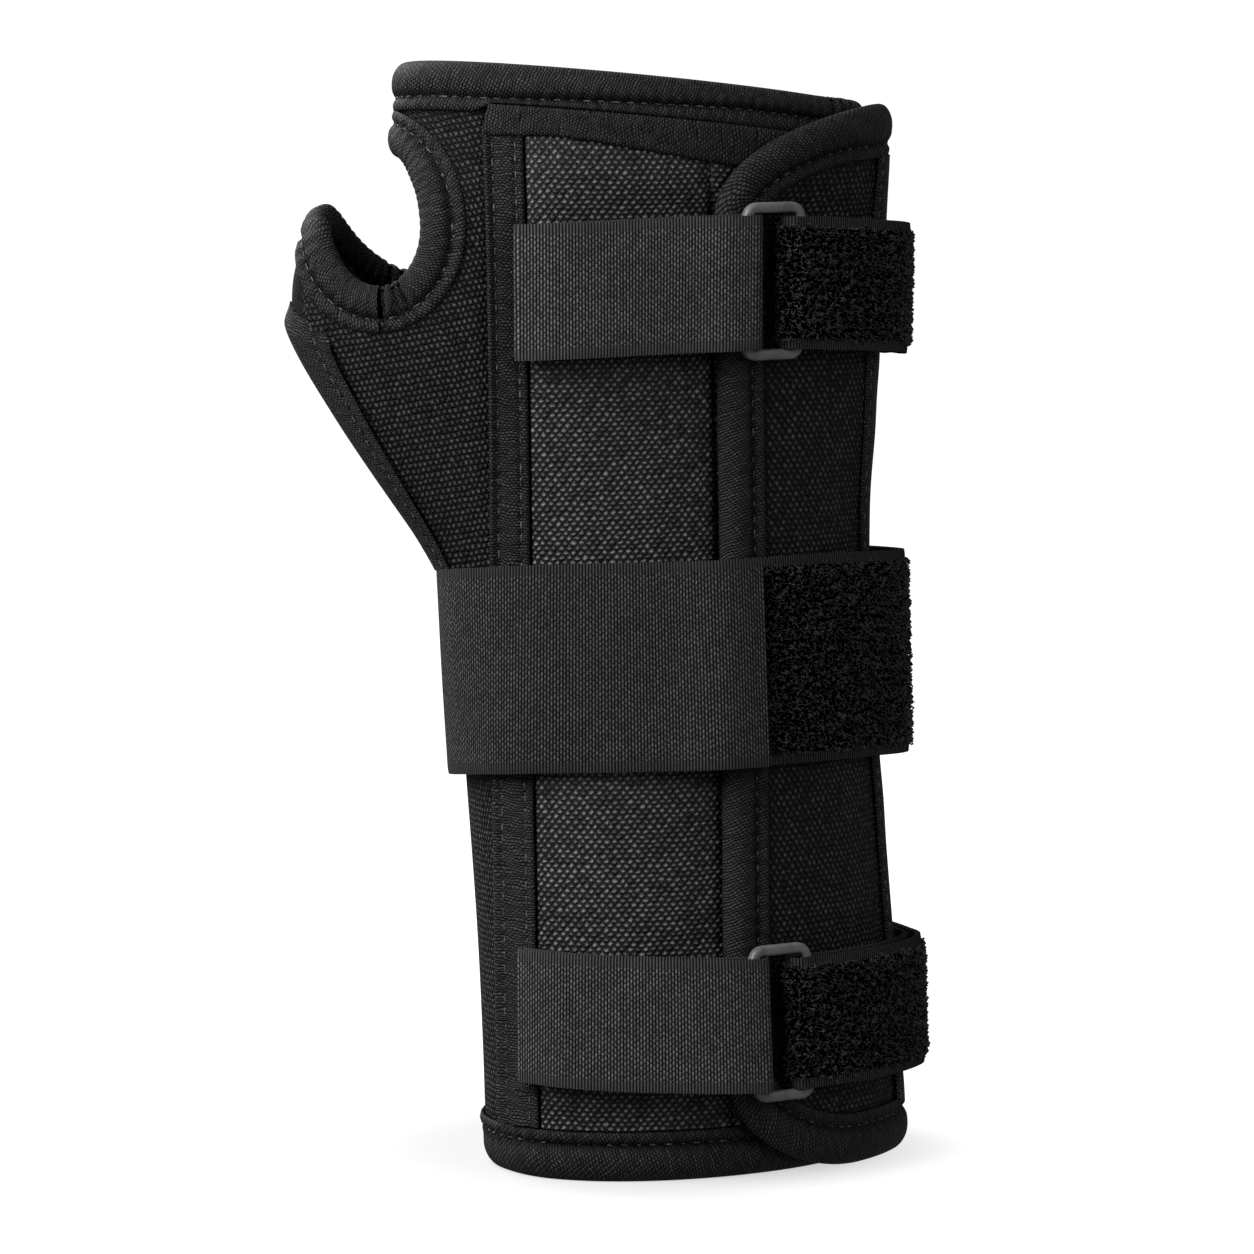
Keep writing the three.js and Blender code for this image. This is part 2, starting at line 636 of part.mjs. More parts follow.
// Elastic tab: a flat loop sewn down at its left end and carried round the ring's left bar.
function ringTab(strap) {
  const { leftBar } = ringPlace(strap);
  const radius = RING.thickness / 2 + GAP + 0.1 + ELASTIC / 2;
  const endRadius = (ELASTIC + 0.25) / 2;
  const bar = footOf(leftBar.point, frontAngle(strap.ringX, strap.ringZ));
  const barX = turnPoint(bar.angle, strap.ringZ).x;
  const endX = strap.tabLeft + endRadius + ELASTIC / 2;
  const zAt = (x) => THREE.MathUtils.mapLinear(x, endX, barX, strap.tabZ, strap.ringZ);
  const onPocket = GAP + TAPE + POCKET.bulge + GAP + ELASTIC / 2;
  const run = [
    { x: endX, out: GAP + TAPE + GAP + ELASTIC / 2 + 0.2 },
    { x: endX + 6, out: onPocket },
    { x: 4, out: onPocket + 0.6 },
    { x: 13, out: onPocket + 1.8 },
    { x: barX - 4, out: bar.out - radius - 0.2 },
    { x: barX, out: bar.out - radius },
  ];
  const spread = (x) => THREE.MathUtils.mapLinear(x, endX, barX, 2 * endRadius, 2 * radius);
  const place = (x, over) => {
    const z = zAt(x);
    return strapStation(frontAngle(x, z), z, rowAt(run, "x", x).out + over);
  };
  const xs = steps(endX, barX, 12).slice(1, -1);
  const lowRun = xs.map((x) => place(x, 0));
  lowRun.forEach((station) => station.normal.negate());
  const highRun = xs.map((x) => place(x, spread(x))).reverse();
  const end = place(endX, endRadius);
  const rightFold = fold(leftBar, radius, 1, 6);
  const leftFold = fold(end, endRadius, -1, 6).reverse();
  return webbing([...lowRun, ...rightFold, ...highRun, ...leftFold], TAB_HEIGHT, ELASTIC, true);
}

// Pile strap: sewn at the back, carried over the flap, round the ring's right bar and back over itself.
function pullStrap(strap) {
  const { rightBar } = ringPlace(strap);
  const radius = RING.thickness / 2 + GAP + 0.1 + PILE / 2;
  const foot = footOf(rightBar.point, frontAngle(strap.ringX, strap.ringZ));
  const bar = foot.angle / DEGREE + 360;
  const barOut = foot.out - FLAP_LIFT;
  const near = GAP + PILE / 2 + 0.2;
  const onSeam = near + TAPE + GAP;
  const { sideZ } = strap;
  const ringZ = strap.ringZ - PULL_DROP;
  const turnZ = (sideZ + ringZ) / 2;
  const run = [
    { angle: PULL_ENDS.sewn, inner: near, outer: near + PILE + 0.4, z: sideZ, lean: 1 },
    { angle: 226, inner: near, outer: near + PILE + 0.4, z: sideZ, lean: 1 },
    { angle: 250, inner: onSeam, outer: onSeam + PILE + 0.8, z: sideZ, lean: 0.8 },
    { angle: 270, inner: onSeam, outer: strap.stand, z: sideZ, lean: 0.3 },
    { angle: 290, inner: onSeam, outer: near + 2 * radius + 0.6, z: turnZ, lean: 0.6 },
    { angle: bar, inner: barOut - radius, outer: barOut + radius, z: ringZ, lean: 1 },
  ];
  const place = (degrees, column) => {
    const row = rowAt(run, "angle", degrees);
    return strapStation(degrees * DEGREE, row.z, row[column], column === "outer" ? row.lean : 1);
  };
  const inner = steps(PULL_ENDS.sewn, bar, 22).slice(0, -1).map((a) => place(a, "inner"));
  const outer = steps(bar, PULL_ENDS.free, 20).slice(1).map((a) => place(a, "outer"));
  const turned = inner.map((s) => ({ ...s, normal: s.normal.negate() }));
  const bend = fold(rightBar, radius, -1, 6);
  return webbing([...turned, ...bend, ...outer], PULL_HEIGHT, PILE);
}

// Wide elastic band: sewn at the right side, round the back and the thumb side and over the front.
function middleBand() {
  const endOut = FLAP_LIFT + GAP + PILE + 2 * GAP + ELASTIC / 2 + (ROLL_THICKNESS - WALL) / 2;
  const onPocket = GAP + TAPE + POCKET.bulge + GAP + ELASTIC / 2;
  const front = [
    { x: MIDDLE.bandEndX, out: endOut },
    { x: 18, out: endOut - 0.5 },
    { x: 11, out: onPocket + 1.9 },
    { x: 0, out: onPocket + 0.4 },
  ];
  const frontRows = front.map(({ x, out }) => ({
    angle: frontAngle(x, MIDDLE.z) / DEGREE,
    out,
    z: MIDDLE.z,
    lean: 1,
  }));
  return webbing(strapAlong([...frontRows, ...MIDDLE_BAND_ROUND], 56), MIDDLE.height, ELASTIC);
}

// Pile strap under the band's end: over the flap and round the right side to the back.
function middleLoopStrap() {
  const start = frontAngle(MIDDLE.pileStartX, MIDDLE.z) / DEGREE + 360;
  const overRoll = GAP + PILE / 2 + (ROLL_THICKNESS - WALL) / 2 + 0.25;
  const rows = [
    ...MIDDLE_PILE_ROUND,
    { angle: start - 18, out: overRoll + 0.2, z: MIDDLE.z, lean: 1 },
    { angle: start, out: overRoll, z: MIDDLE.z, lean: 1 },
  ];
  return webbing(strapAlong(rows, 34), MIDDLE.height, PILE);
}

// Stations of a strap through a table of places round the wrap.
function strapAlong(rows, count) {
  return steps(rows[0].angle, rows.at(-1).angle, count).map((angle) => {
    const row = rowAt(rows, "angle", angle);
    return strapStation(angle * DEGREE, row.z, row.out, row.lean);
  });
}

const LOOKS = {
  cloth: { color: 0x2a2b2c, roughness: 0.9, metalness: 0 },
  pocket: { color: 0x343536, roughness: 0.9, metalness: 0 },
  tape: { color: 0x303132, roughness: 0.75, metalness: 0 },
  elastic: { color: 0x3a3b3c, roughness: 0.8, metalness: 0 },
  pile: { color: 0x101011, roughness: 1, metalness: 0 },
  plastic: { color: 0x1c1d1e, roughness: 0.35, metalness: 0 },
};

const PIECES = [
  { name: "sleeve", look: "cloth", geometry: sleeve() },
  { name: "top_binding", look: "tape", geometry: roll(edgeStations(rimPlaces("high"), 1)) },
  { name: "bottom_binding", look: "tape", geometry: roll(edgeStations(rimPlaces("low"), -1)) },
  { name: "flap_binding", look: "tape", geometry: roll(edgeStations(flapPlaces(), -1)) },
  { name: "thumb_binding", look: "tape", geometry: thumbBinding() },
  { name: "thumb_seam_tape", look: "tape", geometry: thumbSeamTape() },
  { name: "splint_pocket", look: "pocket", geometry: splintPocket() },
  { name: "pocket_side_tape", look: "tape", geometry: pocketSideTape() },
  { name: "pocket_top_tape", look: "tape", geometry: pocketTopTape() },
  { name: "side_seam_tape", look: "tape", geometry: sideSeamTape() },
  { name: "upper_ring", look: "plastic", geometry: ring(RING_STRAPS.upper) },
  { name: "upper_ring_tab", look: "elastic", geometry: ringTab(RING_STRAPS.upper) },
  { name: "upper_pull_strap", look: "pile", geometry: pullStrap(RING_STRAPS.upper) },
  { name: "middle_band", look: "elastic", geometry: middleBand() },
  { name: "middle_loop_strap", look: "pile", geometry: middleLoopStrap() },
  { name: "lower_ring", look: "plastic", geometry: ring(RING_STRAPS.lower) },
  { name: "lower_ring_tab", look: "elastic", geometry: ringTab(RING_STRAPS.lower) },
  { name: "lower_pull_strap", look: "pile", geometry: pullStrap(RING_STRAPS.lower) },
];

const part = new THREE.Group();
part.name = "wrist_brace";
for (const { name, look, geometry } of PIECES) {
  geometry.translate(-BOX_MIDDLE_X, 0, 0);
  const mesh = new THREE.Mesh(geometry, new THREE.MeshStandardMaterial(LOOKS[look]));
  mesh.name = name;
  part.add(mesh);
}

export default part;
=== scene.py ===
# %% [markdown]
# # A wrist brace, dressed piece by piece
# The brace is a padded wrap that closes over itself, bound along every edge, with a thumb opening,
# a splint pocket on the front and three straps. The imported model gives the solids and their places.
# Here each of them gets the cloth, tape, elastic, pile and plastic that it is made of.

# %% Load the frame
import math

import bpy
import numpy as np
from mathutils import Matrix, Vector


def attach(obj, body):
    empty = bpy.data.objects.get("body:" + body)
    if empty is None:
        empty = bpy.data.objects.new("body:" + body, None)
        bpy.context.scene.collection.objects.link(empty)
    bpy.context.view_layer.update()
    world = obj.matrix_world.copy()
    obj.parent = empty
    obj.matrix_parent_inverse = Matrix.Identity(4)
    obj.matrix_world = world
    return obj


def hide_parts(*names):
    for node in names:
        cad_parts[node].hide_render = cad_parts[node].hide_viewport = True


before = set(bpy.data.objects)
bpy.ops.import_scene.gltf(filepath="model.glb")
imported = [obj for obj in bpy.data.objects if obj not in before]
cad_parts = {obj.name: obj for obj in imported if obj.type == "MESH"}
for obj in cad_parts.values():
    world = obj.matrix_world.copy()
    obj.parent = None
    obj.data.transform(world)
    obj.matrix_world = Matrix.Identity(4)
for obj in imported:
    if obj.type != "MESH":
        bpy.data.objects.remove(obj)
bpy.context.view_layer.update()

# %% [markdown]
# ## The form that the cloth lies on
# Every soft piece lies on the same wrap, so its form is stated once, in millimetres, as the solids
# have it: a table of sections from the floor up, smooth between its rows. A place on the wrap is an
# angle and a height. The angle starts at the front, passes the thumb side at 90 degrees, the back and
# the right side, and past 300 degrees the cloth is the flap, which has lifted over the turn below.
# Numpy moves whole sheets of points at once, which would be slow one by one.

# %% The wrap's sections and its points
MIDDLE_X = 1.2
WALL = 2.6
CENTRE_Y, SKEW, SKEW_PIVOT_X = 0.4, 0.3, 8
FLAP_LIFT, LIFT_FROM, LIFT_TO = 5.4, math.radians(240), math.radians(292)
RIM_HEIGHT = 207.5
RIM_FROM_X, RIM_FALL_X = -25, 0.066
RIM_FROM_Y, RIM_FALL_Y = -30, 0.12
ROLL_HEIGHT = 6.3
TUCK_FROM_X, TUCK_RUN, TUCK_LOSS = -19, 45, 0.045
# Columns: height, left end, right end, half the depth, and how far the thumb end is pinched.
SECTIONS = np.array([
    (0, -22.3, 53.2, 33, 0),
    (40, -23.5, 50.2, 31, 0),
    (75, -25.9, 47.5, 28.8, 0),
    (96, -27.7, 46.0, 27.2, 0.02),
    (110, -29.0, 45.4, 26.5, 0.06),
    (116, -31.5, 45.4, 26.3, 0.1),
    (126, -37.9, 45.7, 26, 0.16),
    (143, -48.9, 46.9, 25.5, 0.24),
    (157, -56.6, 47.6, 25.5, 0.28),
    (165, -57.6, 48.0, 25.5, 0.28),
    (173, -55.9, 48.4, 25.5, 0.26),
    (180, -52.0, 48.7, 25.6, 0.2),
    (186, -44.5, 49.0, 25.8, 0.12),
    (191, -39.7, 49.2, 26, 0.06),
    (197, -38.3, 49.5, 26, 0.02),
    (210, -38.1, 50.0, 26, 0),
])


def through(table, value):
    """A table's columns at any value of its first column, on a smooth curve through its rows."""
    value = np.asarray(value, float)
    keys = table[:, 0]
    i = np.clip(np.searchsorted(keys, value, side="right") - 1, 0, len(keys) - 2)
    low, high = table[i], table[i + 1]
    before, after = table[np.maximum(i - 1, 0)], table[np.minimum(i + 2, len(keys) - 1)]
    span = (high - low)[..., :1]
    t = np.clip((value[..., None] - low[..., :1]) / span, 0, 1)
    start = (high - before) / (high - before)[..., :1] * span
    end = (after - low) / (after - low)[..., :1] * span
    cubic = 2 * low - 2 * high + start + end
    square = -3 * low + 3 * high - 2 * start - end
    return ((cubic * t + square) * t + start) * t + low


def unit(vectors):
    return vectors / np.linalg.norm(vectors, axis=-1, keepdims=True)


def smooth(value, low, high):
    """0 below low, 1 above high and a soft step between them."""
    t = np.clip((value - low) / (high - low), 0, 1)
    return t * t * (3 - 2 * t)


def length_along(points):
    """Length so far at each point of a line."""
    return np.concatenate([[0], np.cumsum(np.linalg.norm(np.diff(points, axis=0), axis=1))])


def at_length(wanted, length, vectors):
    """A line's vectors at wanted lengths along it."""
    return np.stack([np.interp(wanted, length, vectors[:, k]) for k in range(3)], axis=-1)


def section(z):
    _, left, right, depth, pinch = np.moveaxis(through(SECTIONS, z), -1, 0)
    return (left + right) / 2, (right - left) / 2, depth, pinch


def turn_point(angle, z):
    """Points of the wrap's outer face, without the flap's lift."""
    angle, z = np.broadcast_arrays(np.asarray(angle, float), np.asarray(z, float))
    centre, width, depth, pinch = section(z)
    across = np.sin(angle)
    x = centre - width * across
    slim = 1 - pinch * np.maximum(0, across) ** 2
    y = CENTRE_Y - depth * slim * np.cos(angle) + SKEW * (x - SKEW_PIVOT_X)
    return np.stack([x, y, z], axis=-1)


def facing(surface, angle, z):
    """Outward normals of a surface that is given by angle and height."""
    around = surface(angle + 0.02, z) - surface(angle - 0.02, z)
    rise = surface(angle, z + 1) - surface(angle, z - 1)
    return unit(np.cross(rise, around))


def face_point(angle, z):
    angle, z = np.broadcast_arrays(np.asarray(angle, float), np.asarray(z, float))
    lift = FLAP_LIFT * smooth(angle, LIFT_FROM, LIFT_TO)
    return turn_point(angle, z) + facing(turn_point, angle, z) * lift[..., None]


def wrap_point(angle, z, out):
    """Points at a distance outside the face."""
    angle, z, out = np.broadcast_arrays(angle, z, out)
    return face_point(angle, z) + facing(face_point, angle, z) * out[..., None]


def front_angle(x, z):
    """The angle of a place on the front, on the turn below the flap."""
    centre, width, _, _ = section(z)
    return np.arcsin(np.clip((centre - x) / width, -1, 1))


def rim_line(angle):
    """Upper end of the solid wall: the finger end slopes down to the right and to the back."""
    x, y, _ = np.moveaxis(face_point(angle, RIM_HEIGHT), -1, 0)
    return RIM_HEIGHT - RIM_FALL_X * (x - RIM_FROM_X) - RIM_FALL_Y * (y - RIM_FROM_Y) - ROLL_HEIGHT


def roll_loss(angle):
    """How much slimmer the finger end's roll is where it runs in under the flap."""
    x = face_point(angle, RIM_HEIGHT)[..., 0]
    return np.where(np.asarray(angle) < 1, TUCK_LOSS * np.clip(x - TUCK_FROM_X, 0, TUCK_RUN), 0)


def wall_top(angle):
    return rim_line(angle) + roll_loss(angle)


print("finger end at the front:", round(float(wall_top(0.0)), 1), "mm")

# %% [markdown]
# ## Cutting and laying cloth
# Cloth is made as a tailor makes it. A swatch is a flat grid, cut with enough columns and rows for
# its folds. It is then laid on the wrap, and the flat cut stays on it as a map, in millimetres or in
# threads, so a weave keeps its real size and follows the cloth. A Solidify modifier gives the cloth its
# thickness.

# %% Swatches
SOFT_ANGLE = math.radians(50)


def swatch(name, across, along):
    """A flat grid and, for each of its points, the shares of its width and its length."""
    bpy.ops.object.select_all(action="DESELECT")
    bpy.ops.mesh.primitive_grid_add(x_subdivisions=across, y_subdivisions=along, size=2)
    piece = bpy.context.object
    piece.name = piece.data.name = name
    points = np.empty(3 * len(piece.data.vertices))
    piece.data.vertices.foreach_get("co", points)
    u, v = (points.reshape(-1, 3).T[:2] + 1) / 2
    return piece, u, v


def set_points(piece, points):
    """Puts a piece's points at places in millimetres."""
    metres = (np.asarray(points) - (MIDDLE_X, 0, 0)) / 1000
    piece.data.vertices.foreach_set("co", metres.ravel())
    piece.data.update()


def write_map(mesh, layer, values):
    """Keeps two values of each point in a map."""
    corners = np.empty(len(mesh.loops), int)
    mesh.loops.foreach_get("vertex_index", corners)
    pairs = np.stack(values, axis=-1).astype(np.float32)
    layer.data.foreach_set("uv", pairs[corners].ravel())


def add_map(piece, name, values):
    write_map(piece.data, piece.data.uv_layers.new(name=name), values)


def lay(piece, points, cut, outwards):
    """Lays a swatch at its places, keeps its cut as a map, and turns its face outwards."""
    set_points(piece, points)
    mesh = piece.data
    mesh.uv_layers[0].name = "cut"
    write_map(mesh, mesh.uv_layers[0], cut)
    normals = np.empty(3 * len(mesh.vertices))
    mesh.vertices.foreach_get("normal", normals)
    if (normals.reshape(-1, 3) * outwards).sum() < 0:
        mesh.flip_normals()


def only(piece):
    """Selects one piece and nothing else."""
    bpy.ops.object.select_all(action="DESELECT")
    piece.select_set(True)
    bpy.context.view_layer.objects.active = piece


def edit(*steps):
    """Runs operators in edit mode on all of the active piece."""
    bpy.ops.object.mode_set(mode="EDIT")
    bpy.ops.mesh.select_all(action="SELECT")
    for operator, settings in steps:
        operator(**settings)
    bpy.ops.object.mode_set(mode="OBJECT")


def apply_modifier(piece, kind, **settings):
    only(piece)
    modifier = piece.modifiers.new(kind.title(), kind)
    for name, value in settings.items():
        setattr(modifier, name, value)
    bpy.ops.object.modifier_apply(modifier=modifier.name)


def thicken(piece, millimetres, offset=-1):
    apply_modifier(piece, "SOLIDIFY", thickness=millimetres / 1000, offset=offset)
    bpy.ops.object.shade_smooth_by_angle(angle=SOFT_ANGLE)


def dress(piece, material, slot, *nodes):
    """Gives a finished piece its material and its body, and hides the model's parts that it stands for.
    Its slot is not used.
    """
    piece.data.materials.clear()
    piece.data.materials.append(material)
    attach(piece, "root")
    if nodes:
        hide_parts(*nodes)
    print(piece.name, len(piece.data.polygons), "faces")


# %% [markdown]
# ## Threads in the materials
# All the cloth here is black, so what tells one from another is its threads: how wide they are, how
# they cross and how much light they catch. Groups of nodes make them on the cut's own map. The weave is
# rows of small knots where two sets of threads cross. The ribs are a tape's fine cords, side by side, a
# little uneven. The elastic has upright ribs with rows of beads. Each group gives a height for the bump
# and a tone for the colour, so it can serve more than one cloth. The tone is high on the threads' crowns,
# a painted highlight, and low between them, painted shade, with a random tone for each thread. A wire
# stands for a node's output, so that the sums read as sums.

# %% Node helpers
def feed(tree, socket, value):
    """Links a socket to a wire, or sets its value."""
    if isinstance(value, Wire):
        tree.links.new(value.socket, socket)
    else:
        socket.default_value = value


def calc(tree, operation, *values):
    node = tree.nodes.new("ShaderNodeMath")
    node.operation = operation
    for socket, value in zip(node.inputs, values):
        feed(tree, socket, value)
    return Wire(tree, node.outputs[0])


def method(operation):
    return lambda wire, *others: calc(wire.tree, operation, wire, *others)


class Wire:
    """An output of a node. Sums and products of wires add the Math nodes that work them out."""

    __add__, __sub__, __mul__ = method("ADD"), method("SUBTRACT"), method("MULTIPLY")
    __truediv__, __pow__, __mod__ = method("DIVIDE"), method("POWER"), method("MODULO")
    __abs__, __lt__ = method("ABSOLUTE"), method("LESS_THAN")
    least, most = method("MINIMUM"), method("MAXIMUM")
    floor, fract, sine, cosine = method("FLOOR"), method("FRACT"), method("SINE"), method("COSINE")

    def __init__(self, tree, socket):
        self.tree = tree
        self.socket = socket

    def __rsub__(self, first):
        return calc(self.tree, "SUBTRACT", first, self)


def place(tree, kind, output, settings=None, **inputs):
    """Adds a node, sets it, feeds its inputs and returns one of its outputs."""
    node = tree.nodes.new("ShaderNode" + kind)
    for name, value in (settings or {}).items():
        setattr(node, name, value)
    for name, value in inputs.items():
        feed(tree, node.inputs[name.replace("_", " ")], value)
    return Wire(tree, node.outputs[output])


def new_group(name, inputs, outputs):
    """A group of nodes. inputs are names and their first values, with None for a vector."""
    tree = bpy.data.node_groups.new(name, "ShaderNodeTree")
    for socket, value in inputs.items():
        kind = "NodeSocketVector" if value is None else "NodeSocketFloat"
        made = tree.interface.new_socket(socket, in_out="INPUT", socket_type=kind)
        if value is not None:
            made.default_value = value
    for socket in outputs:
        tree.interface.new_socket(socket, in_out="OUTPUT", socket_type="NodeSocketFloat")
    given = tree.nodes.new("NodeGroupInput").outputs
    wires = {socket: Wire(tree, given[socket]) for socket in inputs}
    return tree, wires, tree.nodes.new("NodeGroupOutput").inputs


def split(vector):
    node = vector.tree.nodes.new("ShaderNodeSeparateXYZ")
    feed(vector.tree, node.inputs[0], vector)
    return Wire(vector.tree, node.outputs[0]), Wire(vector.tree, node.outputs[1])


def hump(value):
    """Rises from 0 to 1 and falls back between one whole number and the next."""
    return (value.fract() * math.pi).sine()


def odd(whole):
    return abs(whole) % 2.0


def dice(column, row):
    """A draw from 0 to 1 for each cell of a grid."""
    cell = place(column.tree, "CombineXYZ", 0, X=column, Y=row)
    return place(column.tree, "TexWhiteNoise", "Value", {"noise_dimensions": "2D"}, Vector=cell)


# %% The weave
def make_weave():
    inputs = {"Cut": None, "Wander": 0.5, "Crown": 1.2, "Narrow": 1.5, "Rows": 0.5}
    tree, given, made = new_group("woven threads", inputs, ("Height", "Tone"))
    wander = place(tree, "TexNoise", "Color", Vector=given["Cut"], Scale=0.6, Detail=2.0)
    drifts = zip(split(given["Cut"]), split(wander))
    x, y = (still + (drift - 0.5) * given["Wander"] for still, drift in drifts)
    knot = hump(x) * hump(y) ** given["Narrow"]
    line = (((x + y) * (2 * math.pi)).cosine() - 1.0) * 0.5 * given["Rows"] + 1.0
    thread = dice(x.floor(), y.floor())
    fibre = place(tree, "TexNoise", 0, Vector=given["Cut"], Scale=4.5, Detail=1.0)
    lively = (thread * 1.3 + 0.35) * (fibre * 1.4 + 0.3)
    feed(tree, made["Height"], knot ** 0.7 * line)
    # Tone: high on the knots' crowns as a painted highlight, low between them as painted shade, times a
    # random tone for each thread.
    feed(tree, made["Tone"], knot ** given["Crown"] * line * lively)
    return tree


# %% The ribs
KNOT_PITCH, CORD_RUN = 0.75, 1.6


def make_ribs():
    inputs = {"Cut": None, "Pitch": 0.7, "Slant": 0.15, "Waver": 0.5}
    tree, given, made = new_group("tape ribs", inputs, ("Height", "Tone"))
    along, across = split(given["Cut"])
    waver = place(tree, "TexNoise", 0, Vector=given["Cut"], Scale=0.4, Detail=1.0)
    x = (along + (waver - 0.5) * given["Waver"] + across * given["Slant"]) / given["Pitch"]
    column = x.floor()
    knots = (across * (2 * math.pi / KNOT_PITCH) + odd(column) * math.pi).sine()
    rib = hump(x) * (knots * 0.3 + 0.7)
    cord = dice(column, (across / CORD_RUN).floor())
    feed(tree, made["Height"], rib + waver * 0.8)
    # Tone: pale on the ribs' crowns as a painted highlight, deep between them as painted shade, times a
    # random tone for each cord.
    feed(tree, made["Tone"], rib.most(0.0) ** 1.8 * (cord * 0.9 + 0.55))
    return tree


# %% Lint and uneven dye
def make_lint():
    """Slow changes of tone, and the few pale fibres and specks that black cloth always carries."""
    tree, _, made = new_group("lint", {}, ("Tone", "Fleck"))
    spot = place(tree, "TexCoord", "Object")
    slow = place(tree, "TexNoise", 0, Vector=spot, Scale=38.0, Detail=3.0)
    fine = place(tree, "TexNoise", 0, Vector=spot, Scale=900.0, Detail=2.0)
    cells = place(tree, "TexVoronoi", 0, Vector=spot, Scale=520.0)
    feed(tree, made["Tone"], (slow - 0.5) * 0.7 + 1.0 + (fine - 0.5) * 0.5)
    feed(tree, made["Fleck"], cells < 0.07)
    return tree


# %% The elastic's face
RIB_PITCH, BEAD_PITCH, SELVAGE_BLUR = 0.59, 1.03, 0.15


def make_elastic():
    """Upright ribs with rows of small raised loops, and a plain ribbed selvage along both edges."""
    inputs = {"Cut": None, "Width": 25.0, "Selvage": 1.9, "Bare": 0.0}
    tree, given, made = new_group("elastic face", inputs, ("Height", "Tone", "Selvage"))
    along, across = split(given["Cut"])
    x = along / RIB_PITCH
    column, rib = x.floor(), hump(x)
    y = across / BEAD_PITCH + (dice(column, 0.5) * 0.3 + odd(column) * 0.5)
    lively = dice(column, y.floor()) * 0.35 + 0.72
    body = rib * (hump(y) * 0.55 + 0.48) * lively
    edge = across.least(given["Width"] - across)
    inside = place(tree, "MapRange", 0, {"interpolation_type": "SMOOTHSTEP"}, Value=edge,
                   From_Min=given["Selvage"] - SELVAGE_BLUR, From_Max=given["Selvage"] + SELVAGE_BLUR)
    outside = 1.0 - inside
    height = body * inside + (rib * 0.6 + 0.05) * outside
    feed(tree, made["Height"], height)
    # Tone follows the height: painted highlight on the ribs and beads, painted shade between them.
    feed(tree, made["Tone"], height ** 2.0)
    feed(tree, made["Selvage"], outside.most(along < given["Bare"]))
    return tree


WEAVE, RIBS, LINT, ELASTIC_FACE = make_weave(), make_ribs(), make_lint(), make_elastic()
print("node groups:", [group.name for group in (WEAVE, RIBS, LINT, ELASTIC_FACE)])

# %% [markdown]
# ## The finishes
# One function makes each cloth from a pattern, two tones and a relief in millimetres: the deep tone is
# painted shade between the threads and the pale one a painted highlight on their crowns. Along a seam the
# cloth is pressed into a crevice that light hardly reaches, and there the tone falls to almost nothing,
# as painted shade.

# %% Cloth materials
PALE_FIBRE = (0.16, 0.16, 0.165, 1)


def add_group(tree, group, inputs):
    node = tree.nodes.new("ShaderNodeGroup")
    node.node_tree = group
    for name, value in inputs.items():
        feed(tree, node.inputs[name], value)
    return {socket.name: Wire(tree, socket) for socket in node.outputs}


def mix(tree, share, first, second):
    return place(tree, "MixRGB", 0, Fac=share, Color1=first, Color2=second)


def grey(value, cool=1.02):
    return (value, value, value * cool, 1)


def painted_crevice_shade(line, half):
    """Painted shade along a seam: nearly 0 on a seam line and 1 away from it."""
    return (abs(line) / half).least(1.0) * 0.97 + 0.03


def new_material(name):
    material = bpy.data.materials.new(name)
    material.use_nodes = True
    return material, material.node_tree, material.node_tree.nodes["Principled BSDF"]


def add_bump(tree, shader, height, relief):
    """Raises a surface by a height, with the relief in millimetres."""
    bump = tree.nodes.new("ShaderNodeBump")
    bump.inputs["Strength"].default_value = 1.0
    bump.inputs["Distance"].default_value = relief / 1000
    feed(tree, bump.inputs["Height"], height)
    tree.links.new(bump.outputs[0], shader.inputs["Normal"])


def cloth(name, tones, pattern, inputs, relief, roughness, gloss, mask=None, seams=0.0):
    """tones are the deep tone, painted shade between the threads, and the pale one, a painted highlight on
    their crowns. mask names the part of the pattern that shows, and the seam argument is half the width of
    the painted shade along the piece's seam lines."""
    material, tree, shader = new_material(name)
    cut = place(tree, "UVMap", 0, {"uv_map": "cut"})
    threads = add_group(tree, pattern, {"Cut": cut, **inputs})
    lint = add_group(tree, LINT, {})
    tone = threads["Tone"] * lint["Tone"]
    if mask:
        tone = tone * threads[mask]
    # Painted shade: the tone falls to almost nothing along the seam lines kept in the map.
    if seams:
        for line in split(place(tree, "UVMap", 0, {"uv_map": "seams"})):
            tone = tone * painted_crevice_shade(line, seams)
    deep, pale = (grey(value) for value in tones)
    colour = mix(tree, tone.least(1.0), deep, pale)
    colour = mix(tree, lint["Fleck"] * 0.35, colour, PALE_FIBRE)
    feed(tree, shader.inputs["Base Color"], colour)
    add_bump(tree, shader, threads["Height"], relief)
    shader.inputs["Roughness"].default_value = roughness
    shader.inputs["Specular IOR Level"].default_value = gloss
    return material


WRAP_WEAVE = {"Wander": 0.7, "Crown": 1.7, "Narrow": 1.2, "Rows": 0.6}
POCKET_WEAVE = {"Wander": 0.7, "Crown": 1.4, "Narrow": 1.6, "Rows": 0.7}
FLAT_RIBS = {"Pitch": 0.52, "Slant": 0.1, "Waver": 1.7}
ROLLED_RIBS = {"Pitch": 0.57, "Slant": 0.35, "Waver": 1.1}
NARROW, WIDE = {"Width": 24.8}, {"Width": 38.5}
NARROW_PILE = {"Width": 24.4, "Bare": 24.0}
PILE_TONES = (0.001, 0.12)
wrap_cloth = cloth("wrap cloth", (0.001, 0.068), WEAVE, WRAP_WEAVE, 0.45, 0.6, 0.15, seams=0.9)
pocket_cloth = cloth("pocket cloth", (0.0015, 0.19), WEAVE, POCKET_WEAVE, 0.5, 0.5, 0.25)
tape_cloth = cloth("flat tape", (0.002, 0.055), RIBS, FLAT_RIBS, 0.25, 0.6, 0.15)
